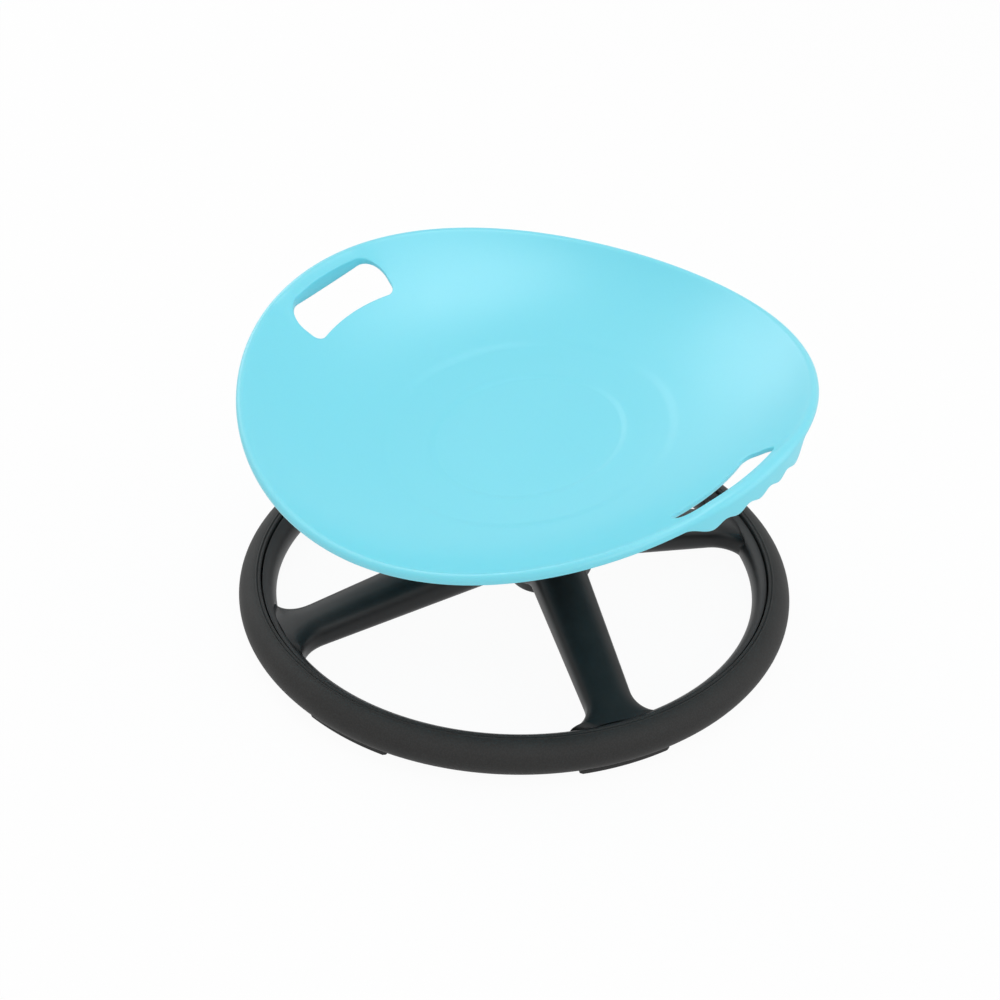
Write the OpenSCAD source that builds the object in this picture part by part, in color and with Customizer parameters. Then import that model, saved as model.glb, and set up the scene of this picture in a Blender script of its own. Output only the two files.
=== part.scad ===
// Spinning seat for a toddler: a saddle-rimmed dish on a leaning ball-bearing spindle,
// carried by a ring base with spokes. Millimetres, +Z up, origin on the floor under
// the centre of the ring. The spindle leans towards -Y.

/* [Base ring] */
// Outer radius of the ring, over its cover
ring_outer_r = 230; // [200:1:260]
// Width of the ring, in plan
ring_w = 31; // [29:0.5:40]
// Height of the ring above its feet
ring_h = 32; // [28:1:40]
// Width of the soft cover, measured in plan
cover_w = 18.5; // [16:0.5:21]
// Gap between the cover and the rim that carries it
cover_gap = 0.3; // [0.1:0.05:0.6]
// Flat of the rim beside the groove
rim_land = 1; // [0.5:0.25:2]
// How far the rim's top lies below the cover's top
rim_step = 2; // [0.5:0.5:4]
// Width of the groove between cover and rim
groove_w = 1.4; // [0.8:0.2:2.5]
// Thickness of the flange under the cover
flange_t = 5; // [4.5:0.5:7]
// Width of the flange under the cover
flange_w = 9; // [6:0.5:11]
// Width of the tongue that keys the cover
tongue_w = 6; // [4:0.5:8]
// Thickness of the tongue that keys the cover
tongue_t = 6; // [4:0.5:9]
// Radius of the two beads on the cover's inner edge
bead_r = 0.9; // [0.5:0.1:1.4]

/* [Feet] */
// Number of foot pads
pad_count = 6; // [4:1:8]
// Length of a pad along the ring, in degrees
pad_arc = 20; // [12:1:28]
// Thickness of a pad
pad_t = 4; // [2:0.5:8]
// Width of a pad across the ring
pad_w = 12.5; // [8:0.5:14]
// Slant of a pad's edges
pad_edge = 1; // [0:0.25:2]
// Radius of a pad's push-in stem
stem_r = 2.5; // [1.5:0.25:3]
// Length of a pad's push-in stem
stem_l = 3; // [2:0.25:3.25]
// Clearance round the stem
stem_gap = 0.05; // [0.02:0.01:0.2]

/* [Spokes] */
// Number of spokes
spoke_count = 4; // [3:1:5]
// Width of a spoke at the ring
spoke_w_ring = 37; // [28:1:44]
// Width of a spoke at the hub
spoke_w_hub = 48; // [40:1:56]
// Height of a spoke at the ring
spoke_h_ring = 24; // [20:1:28]
// Height of a spoke at the hub
spoke_h_hub = 41; // [34:1:48]
// Height of the spokes' meeting point above the hub's middle
spoke_lift = 4; // [0:0.5:8]
// Distance of the spokes' meeting point from the hub's middle, towards the lean
spoke_fore = 4; // [0:0.5:8]
// Wall of a spoke round its underside pockets
spoke_wall = 4.5; // [3:0.5:6]
// Squareness of a spoke's section: 1 is an oval, less is squarer
spoke_square = 0.72; // [0.4:0.02:1]
// Pockets under each spoke, parted by ribs
pocket_count = 3; // [2:1:5]
// Thickness of a rib between two pockets
pocket_rib = 3; // [2:0.5:5]
// Draft of a pocket, from its mouth to its roof
pocket_draft = 4; // [1:0.5:6]
// Radius of the fillet where a spoke meets the ring
ring_fillet = 24; // [8:1:28]
// Radius of the fillet where a spoke meets the hub
hub_fillet = 12; // [4:1:18]

/* [Hub] */
// Lean of the spindle from upright, in degrees
lean = 10; // [0:1:14]
// Height above the floor of the hub's middle, on the spindle's axis
hub_h = 60.5; // [52:0.5:75]
// Distance of that point from the ring's centre, away from the lean
hub_back = 27.25; // [0:0.25:35]
// Distance along the spindle from that point to the middle of the seat's rim
seat_reach = 165.5; // [158:0.5:185]
// Radius of the hub at its foot
hub_r_foot = 36; // [34:1:46]
// Radius of the hub at its top
hub_r_top = 33; // [30:0.5:38]
// Thickness of the plug in the hub's foot
cap_t = 3; // [2:0.5:6]
// Free space between the spindle's end and the plug
cap_gap = 1; // [0.5:0.5:4]
// Width of the plug's flange outside its bore
cap_flange_w = 3; // [1.5:0.5:5]
// Thickness of the plug's flange
cap_flange_t = 1.5; // [1:0.25:3]
// Step between the hub's upper bore and its foot bore
cavity_step = 1; // [0.5:0.25:2]
// Thickness of the ring over the upper bearing
bearing_cover_t = 3; // [2:0.5:4]
// Length of that ring's spigot in the tube
spigot_l = 1.5; // [1:0.25:1.75]
// Thickness of that ring's spigot
spigot_t = 2; // [1:0.25:3]

/* [Bearings] */
// Bore of a bearing
bearing_bore = 20; // [17:1:20]
// Outside diameter of a bearing
bearing_od = 42; // [40:1:44]
// Width of a bearing
bearing_w = 12; // [11:0.5:14]
// Diameter of a ball
ball_d = 6.35; // [5.5:0.05:6.5]
// Balls in a bearing
ball_count = 9; // [7:1:10]
// Running clearance between a ball and its tracks
ball_gap = 0.06; // [0.02:0.01:0.1]
// Height of a race's shoulder beside the track, as a share of the ball
land_share = 0.08; // [0.04:0.01:0.15]
// Thickness of a bearing seal
seal_t = 0.8; // [0.5:0.1:1.2]
// Depth of a seal below the bearing's face
seal_sunk = 0.3; // [0.1:0.1:0.6]
// Step in the outer race that seats a seal
seal_step = 1; // [0.6:0.1:1.4]
// Thickness of a ball cage
cage_t = 2.4; // [1.6:0.2:3]
// Web of a ball cage beside its balls
cage_web = 1; // [0.6:0.1:1.4]
// Wall of the steel tube round the bearings
tube_wall = 4; // [3:0.5:5]
// Step that stops the outer races
tube_step = 3; // [2:0.5:4]
// Tube beyond the face of each bearing and beyond the circlip
tube_end = 2; // [1.75:0.25:4]
// Thickness of the circlip
circlip_t = 1.75; // [1.2:0.05:2]
// Opening of the circlip, in degrees
circlip_open = 40; // [20:2:80]
// Running clearance between turning and fixed pieces
run_gap = 0.5; // [0.3:0.1:1]
// Clearance of pieces that slide on one another when fitted
fit_gap = 0.05; // [0.02:0.01:0.1]

/* [Spindle] */
// Radius of the spindle's collar under the plate
collar_r = 13.5; // [13:0.5:15]
// Radius of the threaded end
thread_r = 8; // [6:0.5:8.5]
// Width across flats of the nut
nut_af = 24; // [22:1:27]
// Height of the nut
nut_h = 13; // [10:1:14]
// Thickness of the washer over the nut
washer_t = 3; // [2:0.5:3.5]
// Radius of the washer over the nut
washer_r = 15; // [14:0.5:16]
// Thread showing below the nut
thread_out = 2; // [0:0.5:3]
// Radius of the plate under the seat
plate_r = 66; // [58:1:75]
// Thickness of the plate under the seat
plate_t = 5; // [3:0.5:6]

/* [Seat bolts] */
// Number of bolts
bolt_count = 4; // [3:1:6]
// Radius of the circle that the bolts lie on
bolt_circle_r = 50; // [44:1:54]
// Radius of a bolt's shank
bolt_r = 3; // [2.5:0.5:4]
// Width across flats of a bolt's head
bolt_af = 10; // [8:1:13]
// Height of a bolt's head
bolt_head_h = 4; // [3:0.5:5]
// Thickness of the washer under a bolt's head
bolt_washer_t = 1.6; // [1:0.2:2]
// Radius of the washer under a bolt's head
bolt_washer_r = 6; // [6:0.5:8]
// Outside radius of a threaded insert
insert_r = 4.5; // [4.5:0.25:5]
// Length of a threaded insert
insert_l = 10; // [8:0.5:11]
// Free thread between a bolt's end and the insert's end
bolt_short = 1; // [0:0.5:3]
// Free height between the bolt heads and the ring over the upper bearing
head_free = 6; // [3:0.5:12]
// Clearance hole for a bolt in the plate, over its shank
bolt_clear = 0.3; // [0.2:0.1:0.6]

/* [Seat] */
// Length of the seat from handle to handle
seat_len = 497; // [460:1:520]
// Width of the seat across the handles' line
seat_wid = 421; // [400:1:460]
// How far the rim rises at the handles and falls between them
rim_rise = 19.5; // [8:0.5:24]
// Depth of the dish below the middle of the rim
dish_depth = 58.5; // [50:0.5:62]
// Steepness of the dish: a higher power has a flatter floor
dish_power = 3.4; // [2.4:0.1:3.8]
// Thickness of the shell
shell_t = 3.5; // [2.5:0.25:4]
// Turn of the seat on its spindle, in degrees
seat_turn = 21.5; // [-180:0.5:180]
// Outer rounding of the rim's rolled edge
lip_round = 4.5; // [4.25:0.25:7]
// Drop of the rolled edge below its rounding
lip_drop = 1; // [0.5:0.5:6]
// Depth of each of the two shallow steps in the dish
recess_d = 0.8; // [0.4:0.1:1.5]
// Place of the inner step, as a share of the way to the rim
recess_p1 = 0.34; // [0.3:0.005:0.4]
// Place of the outer step, as a share of the way to the rim
recess_p2 = 0.515; // [0.45:0.005:0.58]
// Radius of the bosses for the bolts
boss_r = 9; // [7.5:0.5:11]
// Depth of the bosses below the shell
boss_l = 12; // [10:0.5:15]
// Number of ribs under the dish
rib_count = 8; // [4:2:12]
// Thickness of a rib
rib_t = 3; // [2:0.25:4]
// Distance from the axis to a rib's outer end
rib_r = 140; // [110:1:160]
// Clearance of the ribs above the foot of the bosses
rib_clear = 2; // [0:0.5:5]
// Thickness of the round wall that joins the bosses
boss_wall = 3; // [2:0.5:5]

/* [Hand holes] */
// Length of a hand hole
slot_len = 95; // [80:1:110]
// Width of a hand hole, in plan
slot_w = 31.5; // [24:0.5:34]
// Distance from a hand hole to the rim's edge
slot_in = 15; // [13:1:22]
// Rounding of a hand hole's corners
slot_round = 9; // [4:0.5:11]
// Rise of a handle's bar above the sweep of the dish
bar_rise = 2.5; // [0:0.5:4]
// Extra rounding of the rim along a handle's bar
bar_round = 1.5; // [0:0.25:2.5]
// Thickness of the flange along a hand hole's outer edge
bar_flange_t = 3; // [2:0.25:4]
// Depth of that flange below the shell
bar_flange_h = 8; // [4:0.5:12]
// Drop of the grip under a handle
grip_drop = 11.5; // [8:0.5:20]
// Depth of a finger groove in the grip
finger_d = 3.2; // [2:0.2:7]
// Pitch of the finger grooves
finger_pitch = 22.5; // [18:0.5:28]
// Finger grooves on a grip
finger_count = 4; // [3:1:5]

/* [Hidden] */
$fn = 96;
eps = 0.01;
cut = 1;

// Heights and radii of the ring
ring_inner_r = ring_outer_r - ring_w;
ring_z0 = pad_t;
ring_z1 = pad_t + ring_h;
ring_mid_z = pad_t + ring_h / 2;
cover_r = ring_outer_r - cover_w;
rim_z1 = ring_z1 - rim_step;
rim_r1 = cover_r - groove_w;
rim_half_h = (rim_z1 - ring_z0) / 2;
rim_half_w = (rim_r1 - ring_inner_r) / 2;
rim_curve_w = 2 * rim_half_w - rim_land;
rim_curve_r = (rim_half_h * rim_half_h + rim_curve_w * rim_curve_w) / (2 * rim_curve_w);
rim_lap = 1.6;
stem_free = 0.5;
cover_round = ring_h / 2;

// Feet: pads lie under the flange
pad_r = rim_r1 - rim_lap;
stem_at_r = pad_r + pad_w / 2;

// Spoke ends, in the hub and in the rim
spoke_sunk = 16;
fillet_lap = 2;
roof_t = spoke_wall + fillet_lap;

// Stations along the spindle, from the hub's middle
under_s = seat_reach - dish_depth - shell_t;
boss_s = under_s - boss_l;
plate_s = boss_s - plate_t;
bolt_seat_s = plate_s - bolt_washer_t;
bolt_head_s = bolt_seat_s - bolt_head_h;
hub_s1 = bolt_head_s - head_free - bearing_cover_t;
tube_s1 = hub_s1;
circlip_s = tube_s1 - tube_end - circlip_t;
upper_s = circlip_s - bearing_w;
lower_s = -bearing_w;
bearing_span = upper_s;
tube_s0 = lower_s - tube_end;
washer_s = lower_s - washer_t;
nut_s = washer_s - nut_h;
thread_s = nut_s - thread_out;
hub_s0 = thread_s - cap_gap - cap_t;

// Bearing radii
tube_r = bearing_od / 2 + tube_wall;
pitch_r = (bearing_od + bearing_bore) / 4;
ball_r = ball_d / 2;
track_r = ball_r + ball_gap;
inner_land_r = pitch_r - ball_r + land_share * ball_d;
outer_land_r = pitch_r + ball_r - land_share * ball_d;
cavity_r = tube_r - cavity_step;
cap_flange_r = cavity_r + cap_flange_w;

// Seat plan
seat_a = seat_len / 2;
seat_b = seat_wid / 2;
mean_r = (seat_a + seat_b) / 2;
end_curve_r = seat_b * seat_b / seat_a;
wall_r = plate_r - boss_wall;
slot_mid_r = end_curve_r - slot_in - slot_w / 2;
slot_half_a = asin((slot_len / 2 - slot_round) / slot_mid_r);
grip_len = finger_count * finger_pitch;

// Frame of the spindle, its origin at the hub's middle
module on_spindle(s = 0) {
    translate([0, hub_back, hub_h])
        rotate([lean, 0, 0])
            translate([0, 0, s])
                children();
}

// Frame of the seat, its origin at the centre of the rim
module on_seat() {
    on_spindle(seat_reach)
        rotate([0, 0, seat_turn])
            children();
}

module ring_solid(r_in, r_out, h) {
    difference() {
        cylinder(r = r_out, h = h);
        translate([0, 0, -cut])
            cylinder(r = r_in, h = h + 2 * cut);
    }
}

// Solid through a row of closed sections with equal point counts
module loft(sections) {
    n = len(sections[0]);
    m = len(sections);
    sides = [for (k = [0:m - 2], i = [0:n - 1], half = [0, 1])
        let (j = (i + 1) % n, a = k * n, b = a + n)
        half == 0 ? [a + i, b + i, b + j] : [a + i, b + j, a + j]];
    first = [for (i = [0:n - 1]) i];
    last = [for (i = [0:n - 1]) (m - 1) * n + n - 1 - i];
    polyhedron([for (s = sections) each s], concat(sides, [first], [last]), 8);
}

// Spoke: its centre line runs from the ring's middle to the spokes' meeting point
function spoke_root(k) =
    let (a = 360 / spoke_count * k, r = (ring_inner_r + rim_r1) / 2)
    [r * cos(a), r * sin(a), ring_mid_z];
function spoke_end() = [0, hub_back - spoke_fore, hub_h + spoke_lift];
function spoke_run(k) = norm([for (i = [0, 1]) spoke_end()[i] - spoke_root(k)[i]]);
function spoke_point(k, x) = spoke_root(k) + (spoke_end() - spoke_root(k)) * x / spoke_run(k);
function spoke_side(k) =
    let (d = spoke_end() - spoke_root(k))
    [-d[1], d[0], 0] / spoke_run(k);
// Room that a fillet of radius r adds at distance d from the wall that it meets
function fillet(r, d) = d >= r ? 0 : r - sqrt(r * r - pow(r - max(d, 0), 2));
function spoke_half_w(k, x) =
    let (run = spoke_run(k), f = x / run)
    (spoke_w_ring + (spoke_w_hub - spoke_w_ring) * f) / 2
    + fillet(ring_fillet, abs(x - rim_half_w))
    + fillet(hub_fillet, run - x - hub_r_foot + fillet_lap);
function spoke_half_h(k, x) = (spoke_h_ring + (spoke_h_hub - spoke_h_ring) * x / spoke_run(k)) / 2;
// Section of a spoke: a squared oval
function oval(t, power) = [sign(cos(t)) * pow(abs(cos(t)), power), sign(sin(t)) * pow(abs(sin(t)), power)];
function spoke_section(k, x, sides = 20) =
    [for (i = [0:sides - 1])
        let (o = oval(360 / sides * (i + 0.5), spoke_square))
        spoke_point(k, x) + spoke_side(k) * o[0] * spoke_half_w(k, x)
        + [0, 0, o[1] * spoke_half_h(k, x)]];
function spoke_stations(k) =
    let (x0 = rim_half_w, x1 = spoke_run(k) - hub_r_foot)
    concat([0], [for (f = [0, 0.1, 0.22, 0.4, 0.64, 1]) x0 + cover_gap + f * ring_fillet],
        [for (f = [1, 0.6, 0.3, 0.05]) x1 + fillet_lap - f * hub_fillet], [x1 + spoke_sunk]);

module spoke(k) {
    loft([for (x = spoke_stations(k)) spoke_section(k, x)]);
}

// Pocket moulded into the underside of a spoke, narrower at its roof
function pocket_section(k, x) =
    let (w = spoke_half_w(k, x) - roof_t, h = spoke_half_h(k, x), top_w = w - pocket_draft)
    [for (c = [[-w, -h - cut], [w, -h - cut], [top_w, h - roof_t], [-top_w, h - roof_t]])
        spoke_point(k, x) + spoke_side(k) * c[0] + [0, 0, c[1]]];

module pockets(k) {
    x0 = rim_half_w + ring_fillet;
    step = (spoke_run(k) - hub_r_foot - hub_fillet - x0) / pocket_count;
    for (i = [0:pocket_count - 1])
        loft([for (x = [x0 + i * step, x0 + (i + 1) * step - pocket_rib]) pocket_section(k, x)]);
}

module at_stems() {
    for (i = [0:pad_count - 1], side = [-1, 1])
        rotate([0, 0, 360 / pad_count * i + side * pad_arc / 4])
            translate([stem_at_r, 0, 0])
                children();
}

module base_frame() {
    color([0.13, 0.14, 0.15])
    difference() {
        union() {
            rotate_extrude() {
                intersection() {
                    translate([ring_inner_r + rim_curve_r, ring_z0 + rim_half_h])
                        circle(r = rim_curve_r);
                    translate([ring_inner_r, ring_z0])
                        square([2 * rim_half_w, 2 * rim_half_h]);
                }
                translate([rim_r1 - rim_lap, ring_z0])
                    square([rim_lap + flange_w, flange_t]);
                translate([rim_r1 - rim_lap, ring_mid_z - tongue_t / 2])
                    square([rim_lap + groove_w + tongue_w, tongue_t]);
            }
            for (k = [0:spoke_count - 1])
                spoke(k);
            on_spindle(hub_s0)
                cylinder(r1 = hub_r_foot, r2 = hub_r_top, h = hub_s1 - hub_s0);
        }
        for (k = [0:spoke_count - 1])
            pockets(k);
        on_spindle(tube_s0)
            cylinder(r = tube_r, h = hub_s1 - tube_s0 + cut);
        on_spindle(hub_s0 - cut)
            cylinder(r = cavity_r, h = tube_s0 - hub_s0 + 2 * cut);
        at_stems()
            translate([0, 0, ring_z0 - cut])
                cylinder(r = stem_r + stem_gap, h = stem_l + cut + stem_free);
    }
}

module ring_cover() {
    color([0.27, 0.27, 0.28])
    rotate_extrude()
        difference() {
            union() {
                intersection() {
                    translate([ring_outer_r - cover_round, ring_mid_z])
                        circle(r = cover_round);
                    translate([cover_r, ring_z0])
                        square([cover_w, ring_h]);
                }
                translate([cover_r, ring_z0])
                    square([cover_w - cover_round, ring_h]);
                for (i = [0, 1])
                    translate([cover_r + bead_r + i * 3 * bead_r, ring_z1 - bead_r / 2])
                        circle(r = bead_r);
            }
            translate([cover_r - cut, ring_z0 - cut])
                square([flange_w - groove_w + cut + cover_gap, flange_t + cut + cover_gap]);
            translate([cover_r - cut, ring_mid_z - tongue_t / 2 - cover_gap])
                square([tongue_w + cut + cover_gap, tongue_t + 2 * cover_gap]);
        }
}

module foot_pads() {
    color([0.1, 0.1, 0.1]) {
        for (i = [0:pad_count - 1])
            rotate([0, 0, 360 / pad_count * i - pad_arc / 2])
                rotate_extrude(angle = pad_arc)
                    polygon([[pad_r + pad_edge, 0], [pad_r + pad_w - pad_edge, 0],
                        [pad_r + pad_w, pad_t], [pad_r, pad_t]]);
        at_stems()
            translate([0, 0, pad_t - cut])
                cylinder(r = stem_r, h = stem_l + cut);
    }
}

module bearing_tube() {
    color([0.62, 0.63, 0.65])
    on_spindle()
        difference() {
            translate([0, 0, tube_s0])
                cylinder(r = tube_r - fit_gap, h = tube_s1 - tube_s0);
            translate([0, 0, tube_s0 - cut])
                cylinder(r = bearing_od / 2 + fit_gap, h = -tube_s0 + cut);
            translate([0, 0, -cut])
                cylinder(r = bearing_od / 2 - tube_step, h = upper_s + 2 * cut);
            translate([0, 0, upper_s])
                cylinder(r = bearing_od / 2 + fit_gap, h = tube_s1 - upper_s + cut);
            translate([0, 0, circlip_s])
                cylinder(r = bearing_od / 2 + tube_wall / 2, h = circlip_t + 2 * fit_gap);
        }
}

// Outer race with its ball track and the two steps that seat the seals
module outer_race(s) {
    on_spindle(s)
        difference() {
            ring_solid(outer_land_r, bearing_od / 2, bearing_w);
            translate([0, 0, bearing_w / 2])
                rotate_extrude()
                    translate([pitch_r, 0])
                        circle(r = track_r);
            for (z = [-cut, bearing_w - seal_sunk - seal_t])
                translate([0, 0, z])
                    cylinder(r = outer_land_r + seal_step, h = seal_sunk + seal_t + cut);
        }
}

module inner_race(s) {
    on_spindle(s)
        difference() {
            ring_solid(bearing_bore / 2 + fit_gap, inner_land_r, bearing_w);
            translate([0, 0, bearing_w / 2])
                rotate_extrude()
                    translate([pitch_r, 0])
                        circle(r = track_r);
        }
}

module balls(s) {
    on_spindle(s + bearing_w / 2)
        for (i = [0:ball_count - 1])
            rotate([0, 0, 360 / ball_count * i])
                translate([pitch_r, 0, 0])
                    sphere(r = ball_r);
}

// Ring cage with a round pocket for each ball
module cage(s) {
    half_w = ball_r + cage_web;
    on_spindle(s + bearing_w / 2)
        difference() {
            translate([0, 0, -half_w])
                ring_solid(pitch_r - cage_t / 2, pitch_r + cage_t / 2, 2 * half_w);
            for (i = [0:ball_count - 1])
                rotate([0, 90, 360 / ball_count * i])
                    cylinder(r = ball_r + ball_gap, h = bearing_od / 2);
        }
}

module seals(s) {
    for (z = [s + seal_sunk, s + bearing_w - seal_sunk - seal_t])
        on_spindle(z)
            ring_solid(inner_land_r + run_gap, outer_land_r + seal_step - fit_gap, seal_t);
}

module upper_outer_race() {
    color("silver")
        outer_race(upper_s);
}

module lower_outer_race() {
    color("silver")
        outer_race(lower_s);
}

module upper_inner_race() {
    color("silver")
        inner_race(upper_s);
}

module lower_inner_race() {
    color("silver")
        inner_race(lower_s);
}

module upper_seals() {
    color([0.1, 0.1, 0.1])
        seals(upper_s);
}

module lower_seals() {
    color([0.1, 0.1, 0.1])
        seals(lower_s);
}

module upper_cage() {
    color([0.85, 0.83, 0.75])
        cage(upper_s);
}

module lower_cage() {
    color([0.85, 0.83, 0.75])
        cage(lower_s);
}

module upper_balls() {
    color("gainsboro")
        balls(upper_s);
}

module lower_balls() {
    color("gainsboro")
        balls(lower_s);
}

module bearing_circlip() {
    color([0.25, 0.25, 0.27])
    on_spindle(circlip_s + fit_gap)
        rotate([0, 0, circlip_open / 2])
            rotate_extrude(angle = 360 - circlip_open)
                translate([bearing_od / 2 - tube_step, 0])
                    square([tube_step + tube_wall / 2 - fit_gap, circlip_t]);
}

module bearing_cover() {
    color([0.13, 0.14, 0.15])
    on_spindle(hub_s1) {
        ring_solid(collar_r + run_gap, hub_r_top, bearing_cover_t);
        translate([0, 0, -spigot_l])
            ring_solid(bearing_od / 2 - spigot_t, bearing_od / 2, spigot_l + eps);
    }
}

module hub_cap() {
    color([0.13, 0.14, 0.15])
    on_spindle(hub_s0) {
        cylinder(r = cavity_r - fit_gap, h = cap_t);
        translate([0, 0, -cap_flange_t])
            cylinder(r1 = cap_flange_r - cap_flange_t, r2 = cap_flange_r, h = cap_flange_t);
    }
}

module spindle() {
    color("silver")
    on_spindle() {
        translate([0, 0, thread_s])
            cylinder(r = thread_r, h = lower_s - thread_s + eps);
        translate([0, 0, lower_s])
            cylinder(r = bearing_bore / 2, h = boss_s - lower_s);
        translate([0, 0, circlip_s])
            cylinder(r = collar_r, h = plate_s - circlip_s);
    }
}

module spacer_sleeve() {
    color([0.7, 0.7, 0.72])
    on_spindle()
        ring_solid(bearing_bore / 2 + fit_gap, inner_land_r, bearing_span);
}

module spindle_washer() {
    color("silver")
    on_spindle(washer_s)
        ring_solid(thread_r + fit_gap, washer_r, washer_t);
}

module spindle_nut() {
    color("silver")
    on_spindle(nut_s)
        difference() {
            cylinder(r = nut_af / 2 / cos(30), h = nut_h, $fn = 6);
            translate([0, 0, -cut])
                cylinder(r = thread_r + fit_gap, h = nut_h + 2 * cut);
        }
}

module at_bolts() {
    rotate([0, 0, seat_turn])
        for (i = [0:bolt_count - 1])
            rotate([0, 0, 360 / bolt_count * (i + 0.5)])
                translate([bolt_circle_r, 0, 0])
                    children();
}

module mounting_plate() {
    color([0.2, 0.2, 0.22])
    on_spindle(plate_s)
        difference() {
            cylinder(r = plate_r, h = plate_t);
            translate([0, 0, -cut])
                cylinder(r = bearing_bore / 2 + fit_gap, h = plate_t + 2 * cut);
            at_bolts()
                translate([0, 0, -cut])
                    cylinder(r = bolt_r + bolt_clear, h = plate_t + 2 * cut);
        }
}

module seat_inserts() {
    color([0.78, 0.62, 0.3])
    on_spindle(boss_s)
        at_bolts()
            ring_solid(bolt_r + fit_gap, insert_r - fit_gap, insert_l);
}

module seat_bolts() {
    color("silver")
    on_spindle(bolt_head_s)
        at_bolts() {
            cylinder(r = bolt_af / 2 / cos(30), h = bolt_head_h, $fn = 6);
            translate([0, 0, bolt_head_h - eps])
                cylinder(r = bolt_r, h = bolt_washer_t + plate_t + insert_l - bolt_short + eps);
        }
}

module bolt_washers() {
    color("silver")
    on_spindle(bolt_seat_s)
        at_bolts()
            ring_solid(bolt_r + bolt_clear, bolt_washer_r, bolt_washer_t);
}

// The dish: rings that are circles at the middle and grow into the oval of the rim
function ring_a(p) = p * (mean_r + (seat_a - mean_r) * p * p);
function ring_b(p) = p * (mean_r + (seat_b - mean_r) * p * p);
function rise(t) = dish_depth + rim_rise * cos(2 * t);
function recess(p) = recess_d * ((p < recess_p1 ? 1 : 0) + (p < recess_p2 ? 1 : 0));
function dish_z(p, t) = -dish_depth + rise(t) * pow(p, dish_power);
function dish_slope(p, t) = atan(rise(t) * dish_power * pow(p, dish_power - 1) / edge_r(t));
function edge_r(t) = norm([seat_a * cos(t), seat_b * sin(t)]);
function under_drop(p, t) = shell_t / cos(dish_slope(p, t)) + recess(0) * (1 - p);
function ring_point(p, t, drop) =
    [ring_a(p) * cos(t), ring_b(p) * sin(t), dish_z(p, t) + bar_swell(p, t) - drop];

function smooth(x) = let (c = min(max(x, 0), 1)) c * c * (3 - 2 * c);

// The handle's bar: it stands above the sweep of the dish, outside the hand hole
function bar_window(t) = smooth((slot_len / 2 + bar_fade / 2 - abs(seat_b * sin(t))) / bar_fade);
function bar_swell(p, t) = bar_rise * bar_window(t) * smooth((p - bar_p0) / (bar_p1 - bar_p0));
function roll_r(t) = lip_round + bar_round * bar_window(t);

// The rolled edge: an arc that turns from the dish's slope to a straight drop
function lip_p(t) = 1 - 1.5 * roll_r(t) / edge_r(t);
function lip_slope(t) = dish_slope(lip_p(t), t);
function lip_centre(t) =
    let (p = lip_p(t), a = lip_slope(t), q = ring_point(p, t, 0))
    [norm([q[0], q[1]]) + roll_r(t) * sin(a), q[2] - roll_r(t) * cos(a)];
function lip_point(t, r, f, drop) =
    let (c = lip_centre(t), w = (90 + lip_slope(t)) * (1 - f),
        rr = c[0] + r * cos(w), d = atan2(seat_b * sin(t), seat_a * cos(t)))
    [rr * cos(d), rr * sin(d), c[1] + r * sin(w) - drop];

// The grip: a deeper edge at each handle, scalloped for the fingers
function grip_window(v) = smooth((grip_len / 2 + finger_pitch / 2 - abs(v)) / (finger_pitch / 2));
function finger(v) = (1 - cos(360 * v / finger_pitch)) / 2;
function edge_drop(t) =
    let (v = seat_b * sin(t), w = grip_window(v))
    lip_drop + w * (grip_drop - lip_drop - finger_d * finger(v));

bar_fade = 24;
bar_p0 = 0.86;
bar_p1 = 0.94;
handle_half = 20;
handle_step = 1.6;
side_step = 7;
step_p = 0.003;
shell_angles = concat(
    [for (base = [0, 180]) each concat(
        [for (t = [-handle_half:handle_step:handle_half - eps]) base + t],
        [for (t = [handle_half:side_step:180 - handle_half - eps]) base + t])]);
top_p = [0.14, 0.25, recess_p1 - step_p, recess_p1 + step_p, 0.43, recess_p2 - step_p,
    recess_p2 + step_p, 0.6, 0.7, 0.78, 0.85, 0.91, 0.95];
under_p = [0.92, 0.84, 0.76, 0.66, 0.54, 0.4, 0.25, 0.12];

function shell_column(t) = concat(
    [for (p = top_p) ring_point(p, t, recess(p))],
    [for (f = [0, 0.25, 0.5, 0.75, 1]) lip_point(t, roll_r(t), f, 0)],
    [lip_point(t, roll_r(t), 1, edge_drop(t))],
    [lip_point(t, roll_r(t) - shell_t, 1, edge_drop(t))],
    [for (f = [1, 0.5, 0]) lip_point(t, roll_r(t) - shell_t, f, 0)],
    [for (p = under_p) ring_point(p, t, under_drop(p, t))]);

module dish() {
    columns = [for (t = shell_angles) shell_column(t)];
    n = len(columns);
    m = len(columns[0]);
    top = n * m;
    walls = [for (i = [0:n - 1], k = [0:m - 2], half = [0, 1])
        let (j = (i + 1) % n)
        half == 0 ? [i * m + k, j * m + k, j * m + k + 1] : [i * m + k, j * m + k + 1, i * m + k + 1]];
    caps = [for (i = [0:n - 1], half = [0, 1])
        let (j = (i + 1) % n)
        half == 0 ? [top, j * m, i * m] : [top + 1, i * m + m - 1, j * m + m - 1]];
    points = concat([for (c = columns) each c],
        [[0, 0, -dish_depth - recess(0)], [0, 0, -dish_depth - recess(0) - shell_t]]);
    polyhedron(points, concat(walls, caps), 8);
}

// Frame of a handle: its origin at the centre of the rim's end curve, +X through the handle
module at_handle(side) {
    rotate([0, 0, side > 0 ? 0 : 180])
        translate([seat_a - end_curve_r, 0, 0])
            children();
}

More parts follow.
